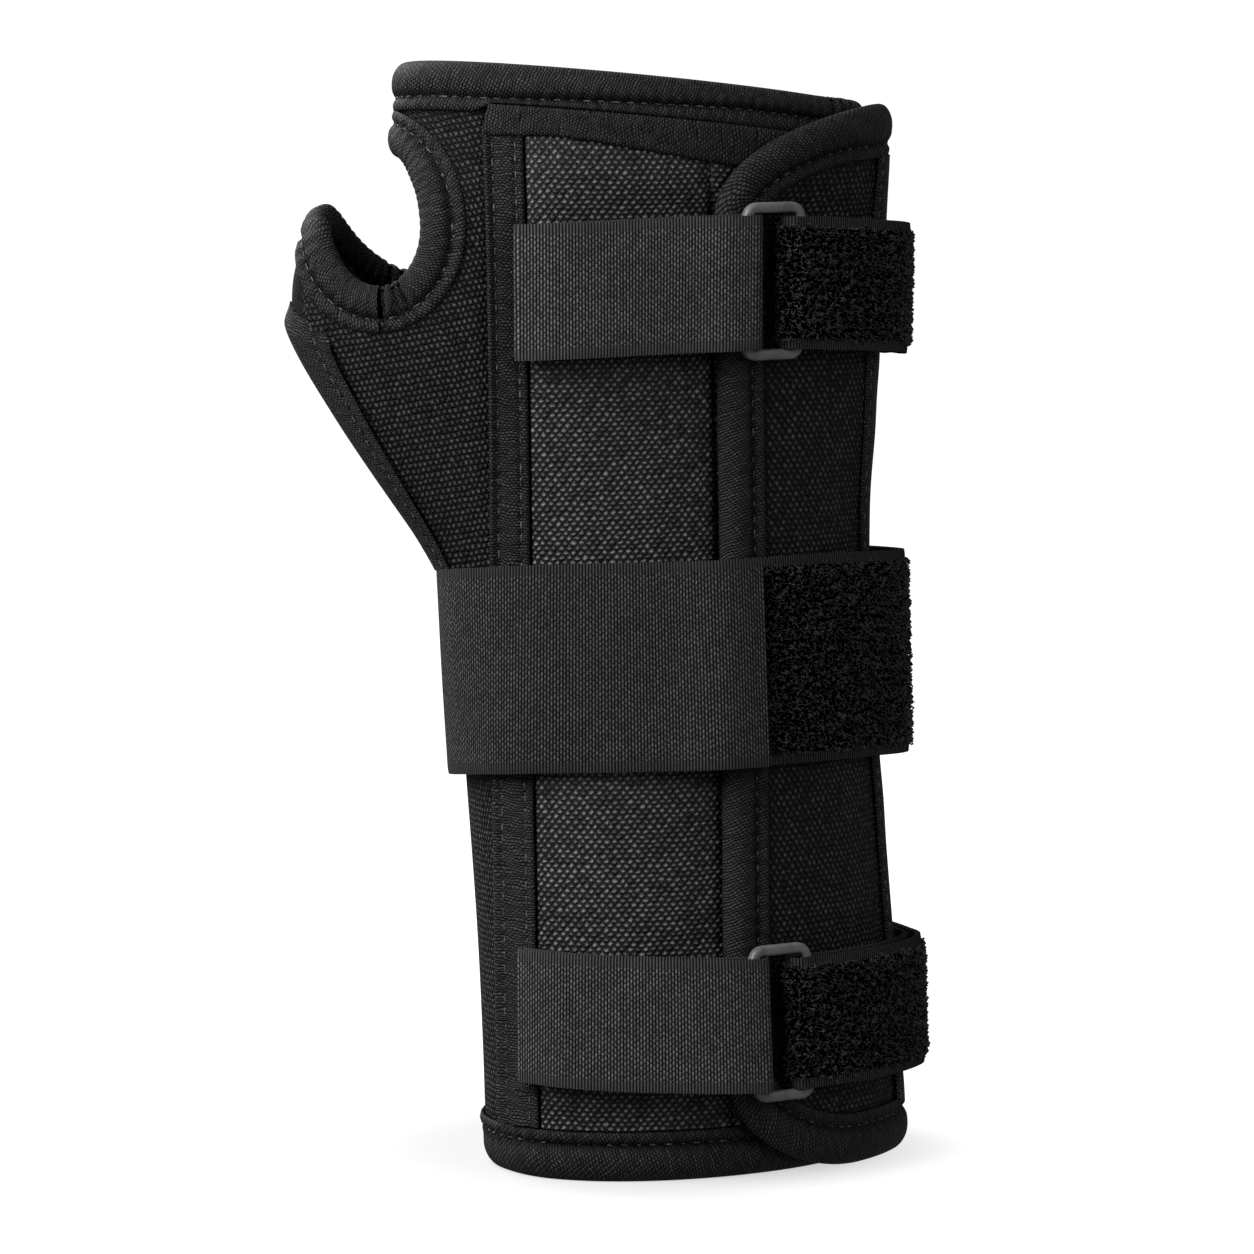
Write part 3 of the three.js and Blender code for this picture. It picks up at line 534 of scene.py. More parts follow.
binding_cloth = cloth("binding tape", (0.002, 0.055), RIBS, ROLLED_RIBS, 0.25, 0.6, 0.15, seams=0.6)
narrow_elastic = cloth("narrow elastic", (0.002, 0.17), ELASTIC_FACE, NARROW, 0.4, 0.6, 0.1)
wide_elastic = cloth("wide elastic", (0.002, 0.11), ELASTIC_FACE, WIDE, 0.4, 0.6, 0.1)
narrow_pile = cloth("narrow pile ground", PILE_TONES, ELASTIC_FACE, NARROW_PILE, 0.2, 0.7, 0.0, "Selvage")
wide_pile = cloth("wide pile ground", PILE_TONES, ELASTIC_FACE, WIDE, 0.2, 0.7, 0.0, "Selvage")

# %% Pile, thread and plastic
def plain(name, colour, spread, scale, roughness, relief=0.0):
    """A finish that varies by its place on the object: fibres, thread and moulded plastic."""
    material, tree, shader = new_material(name)
    spot = place(tree, "TexCoord", "Object")
    noise = place(tree, "TexNoise", 0, Vector=spot, Scale=scale, Detail=3.0)
    noise = place(tree, "MapRange", 0, Value=noise, From_Min=0.4, From_Max=0.64)
    low, high = grey(colour * (1 - spread)), grey(colour * (1 + spread))
    feed(tree, shader.inputs["Base Color"], mix(tree, noise, low, high))
    feed(tree, shader.inputs["Roughness"], (noise - 0.5) * 0.2 + roughness)
    if relief:
        add_bump(tree, shader, noise, relief)
    return material


pile_fibre = plain("pile fibre", 0.02, 0.97, 620, 0.6)
sewing_thread = plain("sewing thread", 0.058, 0.8, 1500, 0.5)
ring_plastic = plain("ring plastic", 0.12, 0.15, 300, 0.34, relief=0.02)
print("materials:", [material.name for material in bpy.data.materials])

# %% [markdown]
# ## The padded wrap
# The wrap is one long sheet of laminated cloth and foam. Its swatch runs from the hidden edge under
# the flap, across the front, round the thumb and the back, to the flap's free edge, with the columns
# closest where the thumb ridge and the flap's corners turn. Sewing draws the padding in, so the face
# dips softly along every bound edge.

# %% Where the wrap's columns run
INNER_EDGE = math.radians(-74)
# An edge that slants across the front is given by its x at the top and at the bottom.
FLAP_EDGE = (23.8, 26.4)
FLAP_RADIUS = 40
FLAP_TOP, FLAP_BOTTOM = (26, 12), (23, 15)
FALL_REACH, FALL = 40, 0.15
BASE_ROLL = 7.0


def slant_x(top, bottom, z):
    """x of a slanting edge on the front, given at the top and at the bottom."""
    return bottom + (top - bottom) * np.asarray(z) / RIM_HEIGHT


def flap_angle(z, distance):
    return front_angle(slant_x(*FLAP_EDGE, z), z) + 2 * math.pi - distance / FLAP_RADIUS


def corner_drop(distance, width, height):
    """How far a rounded corner of the flap stands in at a distance from the free edge."""
    along = np.clip(1 - distance / width, 0, 1)
    return height * (1 - np.sqrt(1 - along * along))


def wall_low(distance):
    return BASE_ROLL + corner_drop(distance, *FLAP_BOTTOM)


def wall_high(angle_at_rim, distance):
    fall = FALL * np.maximum(0, FALL_REACH - distance)
    return wall_top(angle_at_rim) - fall - corner_drop(distance, *FLAP_TOP)


def knots(z):
    """Angles where the wrap's stretches of columns meet, at each height."""
    z = np.asarray(z, float)
    steady = [np.full_like(z, math.radians(a)) for a in (50, 75, 105, 130, 266)]
    return np.stack([np.full_like(z, INNER_EDGE), *steady, flap_angle(z, FALL_REACH), flap_angle(z, 0)])


STRETCHES = (58, 14, 38, 14, 58, 14, 28)
stretch = np.concatenate([np.full(n, i) for i, n in enumerate(STRETCHES)] + [[len(STRETCHES) - 1]])
share = np.concatenate([np.arange(n) / n for n in STRETCHES] + [[1.0]])
share = np.where(stretch == len(STRETCHES) - 1, np.sin(share * math.pi / 2), share)
from_edge = np.where(stretch == len(STRETCHES) - 1, FALL_REACH * (1 - share), 1e3)


def column_angle(column, z):
    table, spot = knots(z), np.arange(np.size(z))
    start = table[stretch[column], spot]
    end = table[stretch[column] + 1, spot]
    return start + (end - start) * share[column]


columns = np.arange(len(share))
rim_angle = column_angle(columns, np.full(len(columns), RIM_HEIGHT))
column_low, column_high = wall_low(from_edge), wall_high(rim_angle, from_edge)
flap_ends = column_low[-1].round(1), column_high[-1].round(1)
print("wrap:", len(columns), "columns, flap edge from", *flap_ends, "mm")

# %% Cut and lay the wrap
ROWS = 118
padded_wrap, u, v = swatch("padded_wrap", len(columns) - 1, ROWS)
column = np.rint(u * (len(columns) - 1)).astype(int)
z = column_low[column] + (column_high[column] - column_low[column]) * v
angle = column_angle(column, z)
round_mm = angle * FLAP_RADIUS
to_edge = np.minimum(np.minimum(z - column_low[column], column_high[column] - z), from_edge[column])
drawn = -0.35 * np.exp(-to_edge / 3.2) + 0.1 * np.exp(-to_edge / 7) * np.cos(round_mm * 2 * math.pi / 7.3)
waves = 0.16 * np.sin(round_mm / 13 + z / 31) + 0.12 * np.sin(round_mm / 7.1 - z / 17 + 1.3)
places = wrap_point(angle, z, drawn + waves * smooth(to_edge, 2, 14))
palm = smooth(angle, 0.02, 0.28) * smooth(-angle, -1.5, -1.25) * smooth(z, 88, 108)
plain_cut = np.stack([0.47 * z + 0.75 * round_mm, 0.47 * z - 0.75 * round_mm])
palm_cut = np.stack([0.87 * z - 0.17 * places[:, 0] - 60, -0.57 * z - 0.9 * places[:, 0] + 80])
lay(padded_wrap, places, plain_cut + (palm_cut - plain_cut) * palm, facing(face_point, angle, z))

# %% [markdown]
# ## The thumb opening
# The opening is punched through the thumb end of the wrap, where the cloth turns from the front to the
# back. Its edge is an ellipse seen from the front, carried onto both faces, so it is one closed line in
# space. A cylinder with a fan at each end becomes the punch: one end's ring goes outside the cloth and
# the other's inside. The same line then carries the opening's binding.

# %% The opening's edge
HOLE_X, HOLE_Y, HOLE_Z = -37.2, -8, 178.1
HOLE_ACROSS, HOLE_UP, HOLE_TILT, HOLE_LEAN = 15.4, 17.9, math.radians(14), 0.25
JOIN = -98


def hole_points(degrees, back):
    theta = np.radians(degrees)
    across, up = HOLE_ACROSS * np.cos(theta), HOLE_UP * np.sin(theta)
    z = HOLE_Z + across * math.sin(HOLE_TILT) + up * math.cos(HOLE_TILT)
    middle = HOLE_X + across * math.cos(HOLE_TILT) - up * math.sin(HOLE_TILT)
    x = middle
    for _ in range(7):
        angle = front_angle(x, z)
        angle = math.pi - angle if back else angle
        x = middle + HOLE_LEAN * (turn_point(angle, z)[:, 1] - HOLE_Y)
    angle = front_angle(x, z)
    centre, width, _, _ = section(z)
    points = turn_point(math.pi - angle if back else angle, z)
    return points[x - (centre - width) > 0.02]


def angle_of(points):
    centre, width, depth, pinch = section(points[:, 2])
    across = (centre - points[:, 0]) / width
    slim = 1 - pinch * np.maximum(0, across) ** 2
    along = (CENTRE_Y + SKEW * (points[:, 0] - SKEW_PIVOT_X) - points[:, 1]) / (depth * slim)
    return np.arctan2(across, along)


hole_edge = np.concatenate([
    hole_points(np.linspace(JOIN, 170, 231), False),
    hole_points(np.linspace(170, -190, 361), True),
    hole_points(np.linspace(-190, JOIN, 131), False),
])
print("thumb opening:", length_along(hole_edge)[-1].round(), "mm round")

# %% Stations along an edge
def along_edge(angle, z, side, step=0.5):
    """Even stations along an edge: length so far, angle, middle of the wall, normal, way off the edge."""
    path = wrap_point(angle, z, -WALL / 2)
    length = length_along(path)
    even = np.linspace(0, length[-1], int(length[-1] / step) + 1)
    angle, z = np.interp(even, length, angle), np.interp(even, length, z)
    for _ in range(3):
        angle[1:-1] = (angle[:-2] + 2 * angle[1:-1] + angle[2:]) / 4
        z[1:-1] = (z[:-2] + 2 * z[1:-1] + z[2:]) / 4
    point = wrap_point(angle, z, -WALL / 2)
    ahead = unit(np.gradient(point, axis=0))
    normal = facing(face_point, angle, z)
    away = unit(np.cross(ahead, normal)) * side
    return {"s": even, "angle": angle, "point": point, "normal": normal, "away": away}


thumb_line = along_edge(angle_of(hole_edge), hole_edge[:, 2], -1)

# %% Keep the seam lines on the wrap, for the painted shade along them
LIP = 2.45
SIDE_LEFT = (-22, -18.4)
COVER_LOW, COVER_HIGH = 113, 163
# Places of the painted shade in the slots between the rings' bars: x and height.
SHADED_SLOTS = ((30.4, 167), (32, 29.3))
SLOT_HALF_WIDTH, SLOT_HALF_HEIGHT = 2.6, 12
# Millimetres to a radian on the front and at the ridge, and a distance that is far from any seam.
FRONT_RADIUS, RIDGE_RADIUS, FAR = 34, 30, 50.0


def slant_line(angle, z, top, bottom):
    """Distance to the left of a slanting edge on the front, negative to its right."""
    edge = front_angle(slant_x(top, bottom, z), z)
    return np.where(angle < math.pi, (angle - edge) * FRONT_RADIUS, FAR)


def seam_reach(z):
    """How far the cover of the thumb seam reaches on each face from the ridge."""
    return np.clip(2.2 + 4.4 * (z - 115) / 48, 2.2, 6.6)


def seam_half(z):
    return np.arccos(1 - seam_reach(z) / section(z)[1])


to_hole = np.full(len(z), FAR)
near = np.flatnonzero((z > 145) & (angle > 0.2) & (angle < 3))
gap = np.linalg.norm(face_point(angle[near], z[near])[:, None] - thumb_line["point"][None, ::2], axis=2)
to_hole[near] = gap.min(axis=1)
beside_cover = (z > COVER_LOW - 1) & (z < COVER_HIGH + 1)
to_cover = (np.abs(angle - math.pi / 2) - seam_half(z)) * RIDGE_RADIUS
to_cover = np.where(beside_cover, to_cover, FAR)
to_strip = slant_line(angle, z, *SIDE_LEFT)
# Painted shade lines: along the lips, round the thumb opening, beside the tapes and behind the rings'
# slots.
lip_shade_line = np.minimum(to_edge, to_hole) - LIP
for slot_x, slot_z in SHADED_SLOTS:
    beside = np.abs(places[:, 0] - slot_x) - SLOT_HALF_WIDTH
    outside = np.maximum(beside, np.abs(z - slot_z) - SLOT_HALF_HEIGHT)
    lip_shade_line = np.where(angle > 4.5, np.minimum(lip_shade_line, np.maximum(outside, 0)), lip_shade_line)
tape_shade_line = np.minimum(to_strip, to_cover)
add_map(padded_wrap, "seams", (lip_shade_line, tape_shade_line))
thicken(padded_wrap, WALL)

# %% Punch the opening
PUNCH_OUT, PUNCH_IN, PUNCH_TIP = 4, 3.4, (-120, -30, 186)
bpy.ops.object.select_all(action="DESELECT")
ring = {k: values[:-1:3] for k, values in thumb_line.items()}
count = len(ring["s"])
bpy.ops.mesh.primitive_cylinder_add(vertices=count, radius=1, depth=2, end_fill_type="TRIFAN")
punch = bpy.context.object
flat = np.array([vertex.co for vertex in punch.data.vertices])
turn = np.arctan2(flat[:, 0], flat[:, 1]) % (2 * math.pi)
station = np.rint(turn / (2 * math.pi) * count).astype(int) % count
rim = np.hypot(flat[:, 0], flat[:, 1]) > 0.5
outside = ring["point"] + PUNCH_OUT * ring["normal"]
inside = ring["point"] - PUNCH_IN * ring["normal"]
points = np.where((flat[:, 2] > 0)[:, None], outside[station], inside[station])
points[~rim & (flat[:, 2] > 0)] = PUNCH_TIP
points[~rim & (flat[:, 2] < 0)] = inside.mean(axis=0)
set_points(punch, points)
only(punch)
edit((bpy.ops.mesh.normals_make_consistent, {"inside": False}))
apply_modifier(padded_wrap, "BOOLEAN", operation="DIFFERENCE", object=punch, solver="EXACT")
bpy.data.objects.remove(punch)
bpy.ops.object.shade_smooth_by_angle(angle=SOFT_ANGLE)
dress(padded_wrap, wrap_cloth, "cloth", "sleeve")

# %% [markdown]
# ## Bound edges
# Every edge is bound with ribbed tape folded over a soft core and sewn through. In section it is a
# roll with a lip on each face of the wall and a groove between them where the thread pulls it in. The
# swatch is as long as the edge and wraps from the outer lip over the roll to the inner one. Each stitch
# dents the groove and puffs the tape beside it, and where an edge turns tightly the tape gathers.

# %% The roll's section
STITCH, THREAD_OUT, THREAD_OFF = 2.7, 1.62, 0.02
# Columns: distance from the middle of the wall, and distance off its edge.
ROLL_HALF = np.array([
    (1.72, -2.4), (1.95, -2.2), (2.08, -1.55), (1.98, -0.85), (1.7, -0.3), (1.66, 0.15),
    (1.98, 0.75), (2.38, 1.7), (2.5, 3.0), (2.28, 4.3), (1.7, 5.45), (0.9, 6.25),
])
roll = np.concatenate([ROLL_HALF, [(0, 6.5)], ROLL_HALF[::-1] * (-1, 1)])
reach = length_along(roll)
ROLL = np.column_stack([reach / reach[-1], roll])
TAPE_WIDTH = reach[-1]
sewing = []


def sew(host, points, normals, pitch=STITCH, length=1.7, thick=0.36):
    """Notes a row of stitches along a line, to be made when all the pieces are in place."""
    step = length_along(points)
    middle = np.arange(pitch / 2, step[-1], pitch)
    before, spot, after = (at_length(middle + d, step, points) for d in (-0.3, 0, 0.3))
    normal = at_length(middle, step, normals)
    sewing.append((host, spot, unit(after - before), unit(normal), length, thick))


def bind(name, node, line, gathers=(), ripple=0.0, tall=1.0, lip=1.0, raised=0.0, lean=0.0):
    """A tape rolled over an edge. gathers are places along it where it is bunched up, and ripple is the
    size of its small folds. tall and lip scale the roll and its lips, raised lifts the outer lip over what
    lies on the wall, and lean tips the roll in."""
    s = line["s"]
    tall, lip, raised, lean = (np.broadcast_to(values, s.shape) for values in (tall, lip, raised, lean))
    piece, u, v = swatch(name, len(s) - 1, 46)
    i = np.rint(u * (len(s) - 1)).astype(int)
    _, out, off = through(ROLL, v).T
    off = np.where(off > 0, off * tall[i], off * lip[i])
    side = np.sign(out)
    phase = 2 * math.pi * s[i] / STITCH
    hole = (0.5 + 0.5 * np.cos(phase)) ** 2
    dent = -0.4 * hole * np.exp(-((off / 0.75) ** 2))
    puff = -0.16 * np.cos(phase) * np.exp(-(((off - 1.3) / 0.9) ** 2))
    curl = -0.16 * np.cos(phase) * np.exp(-(((off + 0.9) / 0.6) ** 2))
    uneven = 0.07 * np.sin(s[i] / 4.3 + 2 * np.sin(s[i] / 17)) * smooth(off, 0.5, 2)
    folds = ripple * np.sin(2 * math.pi * s[i] / 2.1 + 2.2 * np.sin(s[i] / 5.3)) * smooth(off, 0.8, 3)
    crease = sum((-1.3 * np.exp(-(((s[i] - g) / 0.65) ** 2)) for g in gathers), np.zeros(len(i)))
    to_gather = np.min([np.abs(s[i] - g) for g in (*gathers, 1e4)], axis=0)
    out = out + side * (dent + puff + curl + uneven + folds + crease * smooth(off, 0.3, 2))
    out = out + (side > 0) * raised[i] * smooth(-off, 0, 0.5) - lean[i] * smooth(off, 0, 2)
    off = off + (crease * 0.6 + folds * 0.5) * smooth(off, 3, 6)
    points = line["point"][i] + line["normal"][i] * out[:, None] + line["away"][i] * off[:, None]
    points[:, 2] = np.maximum(points[:, 2], 0)
    core = line["point"][i] + line["away"][i] * 2.5
    lay(piece, points, (s[i], v * TAPE_WIDTH), points - core)
    # Painted shade on the binding along its groove, reaching up the roll's lower side, and in its gathers.
    add_map(piece, "seams", (np.where(off > 0.1, 0.4 * (off - 0.1), 0.1 - off), to_gather))
    thicken(piece, 0.4)
    dress(piece, binding_cloth, "tape", node)
    for face in (1, -1):
        groove = line["point"] + line["normal"] * (THREAD_OUT * face) + line["away"] * THREAD_OFF
        sew(name, groove, line["normal"] * face)
    s[-1] / 1000


# %% The four bound edges
SEAM, SLIT = math.radians(264), 0.0002
around = np.linspace(INNER_EDGE, SEAM - SLIT, 400)
finger_line = along_edge(around, wall_top(around), 1)
forearm_line = along_edge(around, np.full(400, BASE_ROLL), -1)
distance = FALL_REACH * (1 - np.cos(np.linspace(math.pi / 2, 0, 80)))
low_z = wall_low(distance)
low_angle = flap_angle(low_z, distance)
high_z = wall_high(flap_angle(RIM_HEIGHT, distance), distance)
high_angle = flap_angle(high_z, distance)
low_run = np.linspace(SEAM + SLIT, low_angle[0], 60)[:-1]
high_run = np.linspace(SEAM + SLIT, high_angle[0], 60)[:-1]
rise = np.linspace(low_z[-1], high_z[-1], 120)[1:-1]
flap_line = along_edge(
    np.concatenate([low_run, low_angle, flap_angle(rise, 0), high_angle[::-1], high_run[::-1]]),
    np.concatenate([np.full(59, BASE_ROLL), low_z, rise, high_z[::-1], wall_top(high_run)[::-1]]),
    -1,
)
loss = roll_loss(finger_line["angle"])
front = smooth(-finger_line["angle"], -0.75, -0.6)
end_lift = 0.07 * smooth(-finger_line["s"], -14, -3)
bind("finger_end_binding", "top_binding", finger_line, gathers=(3.8, 6.9, 9.8),
     tall=1 - loss / 6.5 + end_lift, lip=1 + (0.33 + loss / 2.4 - 1) * front, raised=0.45 * front)
front = smooth(-forearm_line["angle"], -0.95, -0.85)
inwards = smooth(forearm_line["angle"], 0.7, 1.2) * smooth(-forearm_line["angle"], -2.2, -1.8)
bind("forearm_end_binding", "bottom_binding", forearm_line,
     tall=1.1, raised=0.5 * front, lean=0.9 * inwards)
flap_z = flap_line["point"][:, 2]
corner_lift = 0.17 * np.exp(-(((flap_line["angle"] - 5.04) / 0.25) ** 2)) * smooth(flap_z, 100, 120)
foot_lift = 0.1 * smooth(-flap_z, -30, -12)
bind("flap_edge_binding", "flap_binding", flap_line, tall=1 + foot_lift + corner_lift)
cut_back = {k: values[1:-1] for k, values in thumb_line.items()}
bind("thumb_edge_binding", "thumb_binding", cut_back,
     gathers=(0.8, 4.2, 6.1, 140, 143.5), ripple=0.1, tall=0.94)

# %% [markdown]
# ## Flat tapes
# Where two cloths meet, the seam is covered by a flat tape sewn along both its edges. Between the rows
# of stitches the tape stands up a little, and each stitch dents it.

# %% A flat tape with its rows of stitches
GAP, TAPE = 0.3, 1.0


def tape(name, node, across, along, angle_z, width, length, rows,
         ridge=None, tucked=False, puff=0.0, high=1.3, dip=None):
    """A tape on the wrap. angle_z gives a place from the shares across and along it, rows are the shares
    across it where it is sewn, and ridge is a place across it where a cord lies under it. The upper end
    of a tucked tape goes down into the seam above it, puff is how much it stands up between its rows, and
    high is the distance of its face from the wrap. dip gives how far it is pressed down at a place."""
    piece, u, v = swatch(name, across, along)
    angle, z = angle_z(u, v)
    run = v * length
    hole = (0.5 + 0.5 * np.cos(2 * math.pi * run / STITCH)) ** 2
    out = np.full(len(u), high)
    if puff:
        between = np.clip((u - rows[0]) / (rows[-1] - rows[0]), 0, 1)
        out += puff * np.sin(math.pi * between) ** 0.7
    if dip:
        out -= dip(angle, z)
    for row in rows:
        near = np.exp(-(((u - row) * width / 0.55) ** 2))
        out -= near * (0.2 + 0.3 * hole)
    if ridge is not None:
        out += 0.75 * np.exp(-(((u - ridge) * width / 0.8) ** 2))
    out -= 0.45 * np.exp(-np.minimum(u, 1 - u) * width / 0.3)
    out += 0.06 * np.sin(run / 3.7 + 2 * np.sin(run / 11))
    if tucked:
        out -= 1.5 * smooth(run, length - 5, length)
    lay(piece, wrap_point(angle, z, out), (run, u * width), facing(face_point, angle, z))
    thicken(piece, 0.7)
    dress(piece, tape_cloth, "tape", node)
    share = np.linspace(0.004, 0.996, 400)
    for row in rows:
        spot = angle_z(np.full(400, row), share)
        sew(name, wrap_point(*spot, high - 0.12 + 0.3 * puff), facing(face_point, *spot))


def slant_between(left, right, share, z):
    """x at a share of the way from one slanting edge to another."""
    return slant_x(*left, z) + (slant_x(*right, z) - slant_x(*left, z)) * share


# Columns: x, and how far the strip across the pocket's top reaches below the end of the wall.
STRIP = np.array([(-23, 6.9), (-16, 6.5), (-8, 6.15), (7, 7.3), (20, 8.3), (31, 9.1), (36, 9.4)])


def strip_low(x):
    return rim_line(front_angle(x, RIM_HEIGHT)) - through(STRIP, x)[..., 1]


POCKET_BOTTOM, POCKET_TOP = BASE_ROLL + LIP + 0.25, 190
SIDE_RIGHT = (-14.9, -11.5)


def side_places(u, v):
    high = strip_low(slant_between(SIDE_LEFT, SIDE_RIGHT, u, POCKET_TOP)) + 1
    z = POCKET_BOTTOM + (high - POCKET_BOTTOM) * v
    return front_angle(slant_between(SIDE_LEFT, SIDE_RIGHT, u, z), z), z


def below_strip(angle, z):
    x = turn_point(angle, z)[:, 0]
    return 0.7 * np.exp(-np.abs(z - strip_low(x)) / 0.45)


tape("pocket_side_strip", "pocket_side_tape", 28, 420, side_places, 6.8, 184, (0.22, 0.8),
     ridge=0.04, dip=below_strip)


def top_places(u, v):
    left = -22.2 + 1.4 * u
    x = left + (34.5 - left) * v
    low, high = strip_low(x), rim_line(front_angle(x, RIM_HEIGHT)) - 1.0
    z = low + (high - low) * u
    return front_angle(x, z), z


tape("pocket_top_strip", "pocket_top_tape", 24, 130, top_places, 6.4, 56, (), high=1.5)


SIDE_FROM, SIDE_TO = 258, 290


def seam_places(u, v):
    angle = np.radians(SIDE_FROM + (SIDE_TO - SIDE_FROM) * u)
    low, high = BASE_ROLL + 1, wall_top(angle) - 2.4
    return angle, low + (high - low) * v


tape("side_seam_strip", "side_seam_tape", 44, 420, seam_places, 20.5, 181, (0.08, 0.92), high=1.0)


def thumb_places(u, v):
    t = 2 * u - 1
    z = COVER_LOW + (COVER_HIGH - 5 * np.abs(t) - COVER_LOW) * v
    return math.pi / 2 + t * seam_half(z), z


tape("thumb_seam_cover", "thumb_seam_tape", 60, 150, thumb_places, 24, 60, (0.1, 0.9),
     tucked=True, puff=0.5)

# %% [markdown]
# ## The splint pocket
# The pocket is a coarser, paler cloth with room for a splint, so it swells towards its middle and is
# drawn down along its edges. On its right it ends in a groove with two rows of stitches.

# %% Cut and lay the pocket
POCKET_LEFT, POCKET_EDGE, GROOVE, BULGE = (-14.4, -10.9), 25.4, (18.7, 24.0), 1.4


def groove_x(z):
    return slant_x(*GROOVE, z)


pocket_panel, u, v = swatch("pocket_panel", 96, 320)
left_high = slant_x(*POCKET_LEFT, POCKET_TOP)
x_high = left_high + (POCKET_EDGE - left_high) * u
top = strip_low(x_high) + 0.6
z = POCKET_BOTTOM + (top - POCKET_BOTTOM) * v
left = slant_x(*POCKET_LEFT, z)
x = left + (POCKET_EDGE - left) * u
across = np.clip((x - left) / (groove_x(z) - left), 0, 1)
ends = smooth(np.minimum(v, 1 - v), 0, 0.04)
swell = BULGE * np.sin(math.pi * across) ** 0.45 * ends
groove = 0.9 * np.exp(-(((x - groove_x(z)) / 0.8) ** 2))
tuck = 0.12 * np.cos(2 * math.pi * z / 5.2) * np.exp(-np.abs(x - groove_x(z) + 1.5) / 2.5)
dip = 0.7 * np.exp(-np.abs(top - 0.6 - z) / 0.5) + 0.4 * np.exp(-(x - left) / 0.4)
out = GAP + TAPE - 0.1 + swell - groove - dip + tuck * smooth(across, 0.2, 0.6)
angle = front_angle(x, z)
threads = (0.73 * x + 0.55 * z, 0.55 * z - 0.73 * x)
lay(pocket_panel, wrap_point(angle, z, out), threads, facing(face_point, angle, z))
thicken(pocket_panel, 0.7)
dress(pocket_panel, pocket_cloth, "pocket", "splint_pocket")
height = np.linspace(POCKET_BOTTOM + 1, POCKET_TOP - 1, 300)
for step in (-0.45, 0.5):
    angle = front_angle(groove_x(height) + step, height)
    groove = wrap_point(angle, height, GAP + TAPE - 0.55)
    sew("pocket_panel", groove, facing(face_point, angle, height), pitch=2.4, length=1.6)

# %% [markdown]
# ## Rings
# Two flat plastic rings turn the narrow straps back. Each is modelled as a plate: a plane with its
# corners rounded, inset to the width of its bars, opened in the middle, then thickened and given soft
# edges with a Bevel modifier. It is made flat and then stood on the flap, leaning with the strap.

# %% Places of the straps
RING_WIDTH, RING_TALL, RING_BAR, RING_END, RING_THICK, RING_OUT = 13.6, 29.2, 1.8, 2.0, 1.8, 3.9
UPPER = {"tab_left": -16.8, "tab_z": 165.5, "ring_x": 26.2, "ring_z": 167.1, "side_z": 163.6, "stand": 5.4}
LOWER = {"tab_left": -14.4, "tab_z": 31.2, "ring_x": 28, "ring_z": 29.3, "side_z": 27.8, "stand": 4.5}
TAB_SHIFT, PULL_SHIFT, PULL_DROP = 0.8, 1.6, 0.3
UP = np.array([0.0, 0, 1])


def strap_places(angle, z, out, lean=1.0):
    """Places on a strap's middle line: point, level normal, and an upright that leans with the wrap."""
    angle, z, out, lean = np.broadcast_arrays(*(np.asarray(a, float) for a in (angle, z, out, lean)))
    normal = facing(face_point, angle, z)
    point = face_point(angle, z) + normal * out[..., None]
    slope = -lean * normal[..., 2] / np.hypot(normal[..., 0], normal[..., 1])
    normal = unit(normal * (1, 1, 0))
    return point, normal, normal * slope[..., None] + UP


def ring_place(strap):
    """The ring's middle, normal, upright and right, and its bars on the left and the right."""
    angle = front_angle(strap["ring_x"], strap["ring_z"]) + 2 * math.pi
    point, normal, up = strap_places(angle, strap["ring_z"], RING_OUT)
    right = np.cross(UP, normal)
    half = (RING_WIDTH - RING_BAR) / 2
    left_bar = point - right * (half - TAB_SHIFT)
    return point, normal, up, right, left_bar, point + right * (half - PULL_SHIFT) - up * PULL_DROP


# %% Model a ring and stand it up
def make_ring(name, node, strap):
    bpy.ops.object.select_all(action="DESELECT")
    bpy.ops.mesh.primitive_plane_add(size=1)
    piece = bpy.context.object
    piece.name = piece.data.name = name
    piece.scale = (RING_WIDTH / 1000, RING_TALL / 1000, 1)
    bpy.ops.object.transform_apply(location=False, rotation=False, scale=True)
    mesh_ops = bpy.ops.mesh
    edit((mesh_ops.bevel, {"offset": 0.003, "segments": 8, "affect": "VERTICES"}),
         (mesh_ops.inset, {"thickness": RING_END / 1000}),
         (mesh_ops.delete, {"type": "FACE"}))
    points = np.array([vertex.co for vertex in piece.data.vertices])
    room = np.array([RING_WIDTH, RING_TALL]) / 2000 - 0.0012
    inner = (np.abs(points[:, :2]) < room).all(axis=1)
    points[inner, 0] *= (RING_WIDTH / 2 - RING_BAR) / (RING_WIDTH / 2 - RING_END)
    piece.data.vertices.foreach_set("co", points.ravel())
    apply_modifier(piece, "SOLIDIFY", thickness=RING_THICK / 1000, offset=0)
    apply_modifier(piece, "BEVEL", width=0.00055, segments=3, limit_method="ANGLE",
                   angle_limit=math.radians(40))
    bpy.ops.object.shade_smooth_by_angle(angle=math.radians(35))
    point, _, up, right, _, _ = ring_place(strap)
    up = unit(up)
    axes = np.stack([right, up, np.cross(right, up)])
    flat = np.array([vertex.co for vertex in piece.data.vertices]) * 1000
    set_points(piece, point + flat @ axes)
    dress(piece, ring_plastic, "plastic", node)


make_ring("upper_ring_frame", "upper_ring", UPPER)
make_ring("lower_ring_frame", "lower_ring", LOWER)

# %% [markdown]
# ## Straps
# A strap is a long narrow swatch that follows its middle line. The tabs are flat loops of elastic: down
# the front under the ring's left bar, round it and back over themselves. The pile straps start at a
# seam at the back, cross the flap, turn round the right bars and lie back over themselves. The lines
# are spaced evenly first, so that the threads keep their size round the folds.

# %% Laying a strap
ELASTIC, PILE = 1.1, 1.7


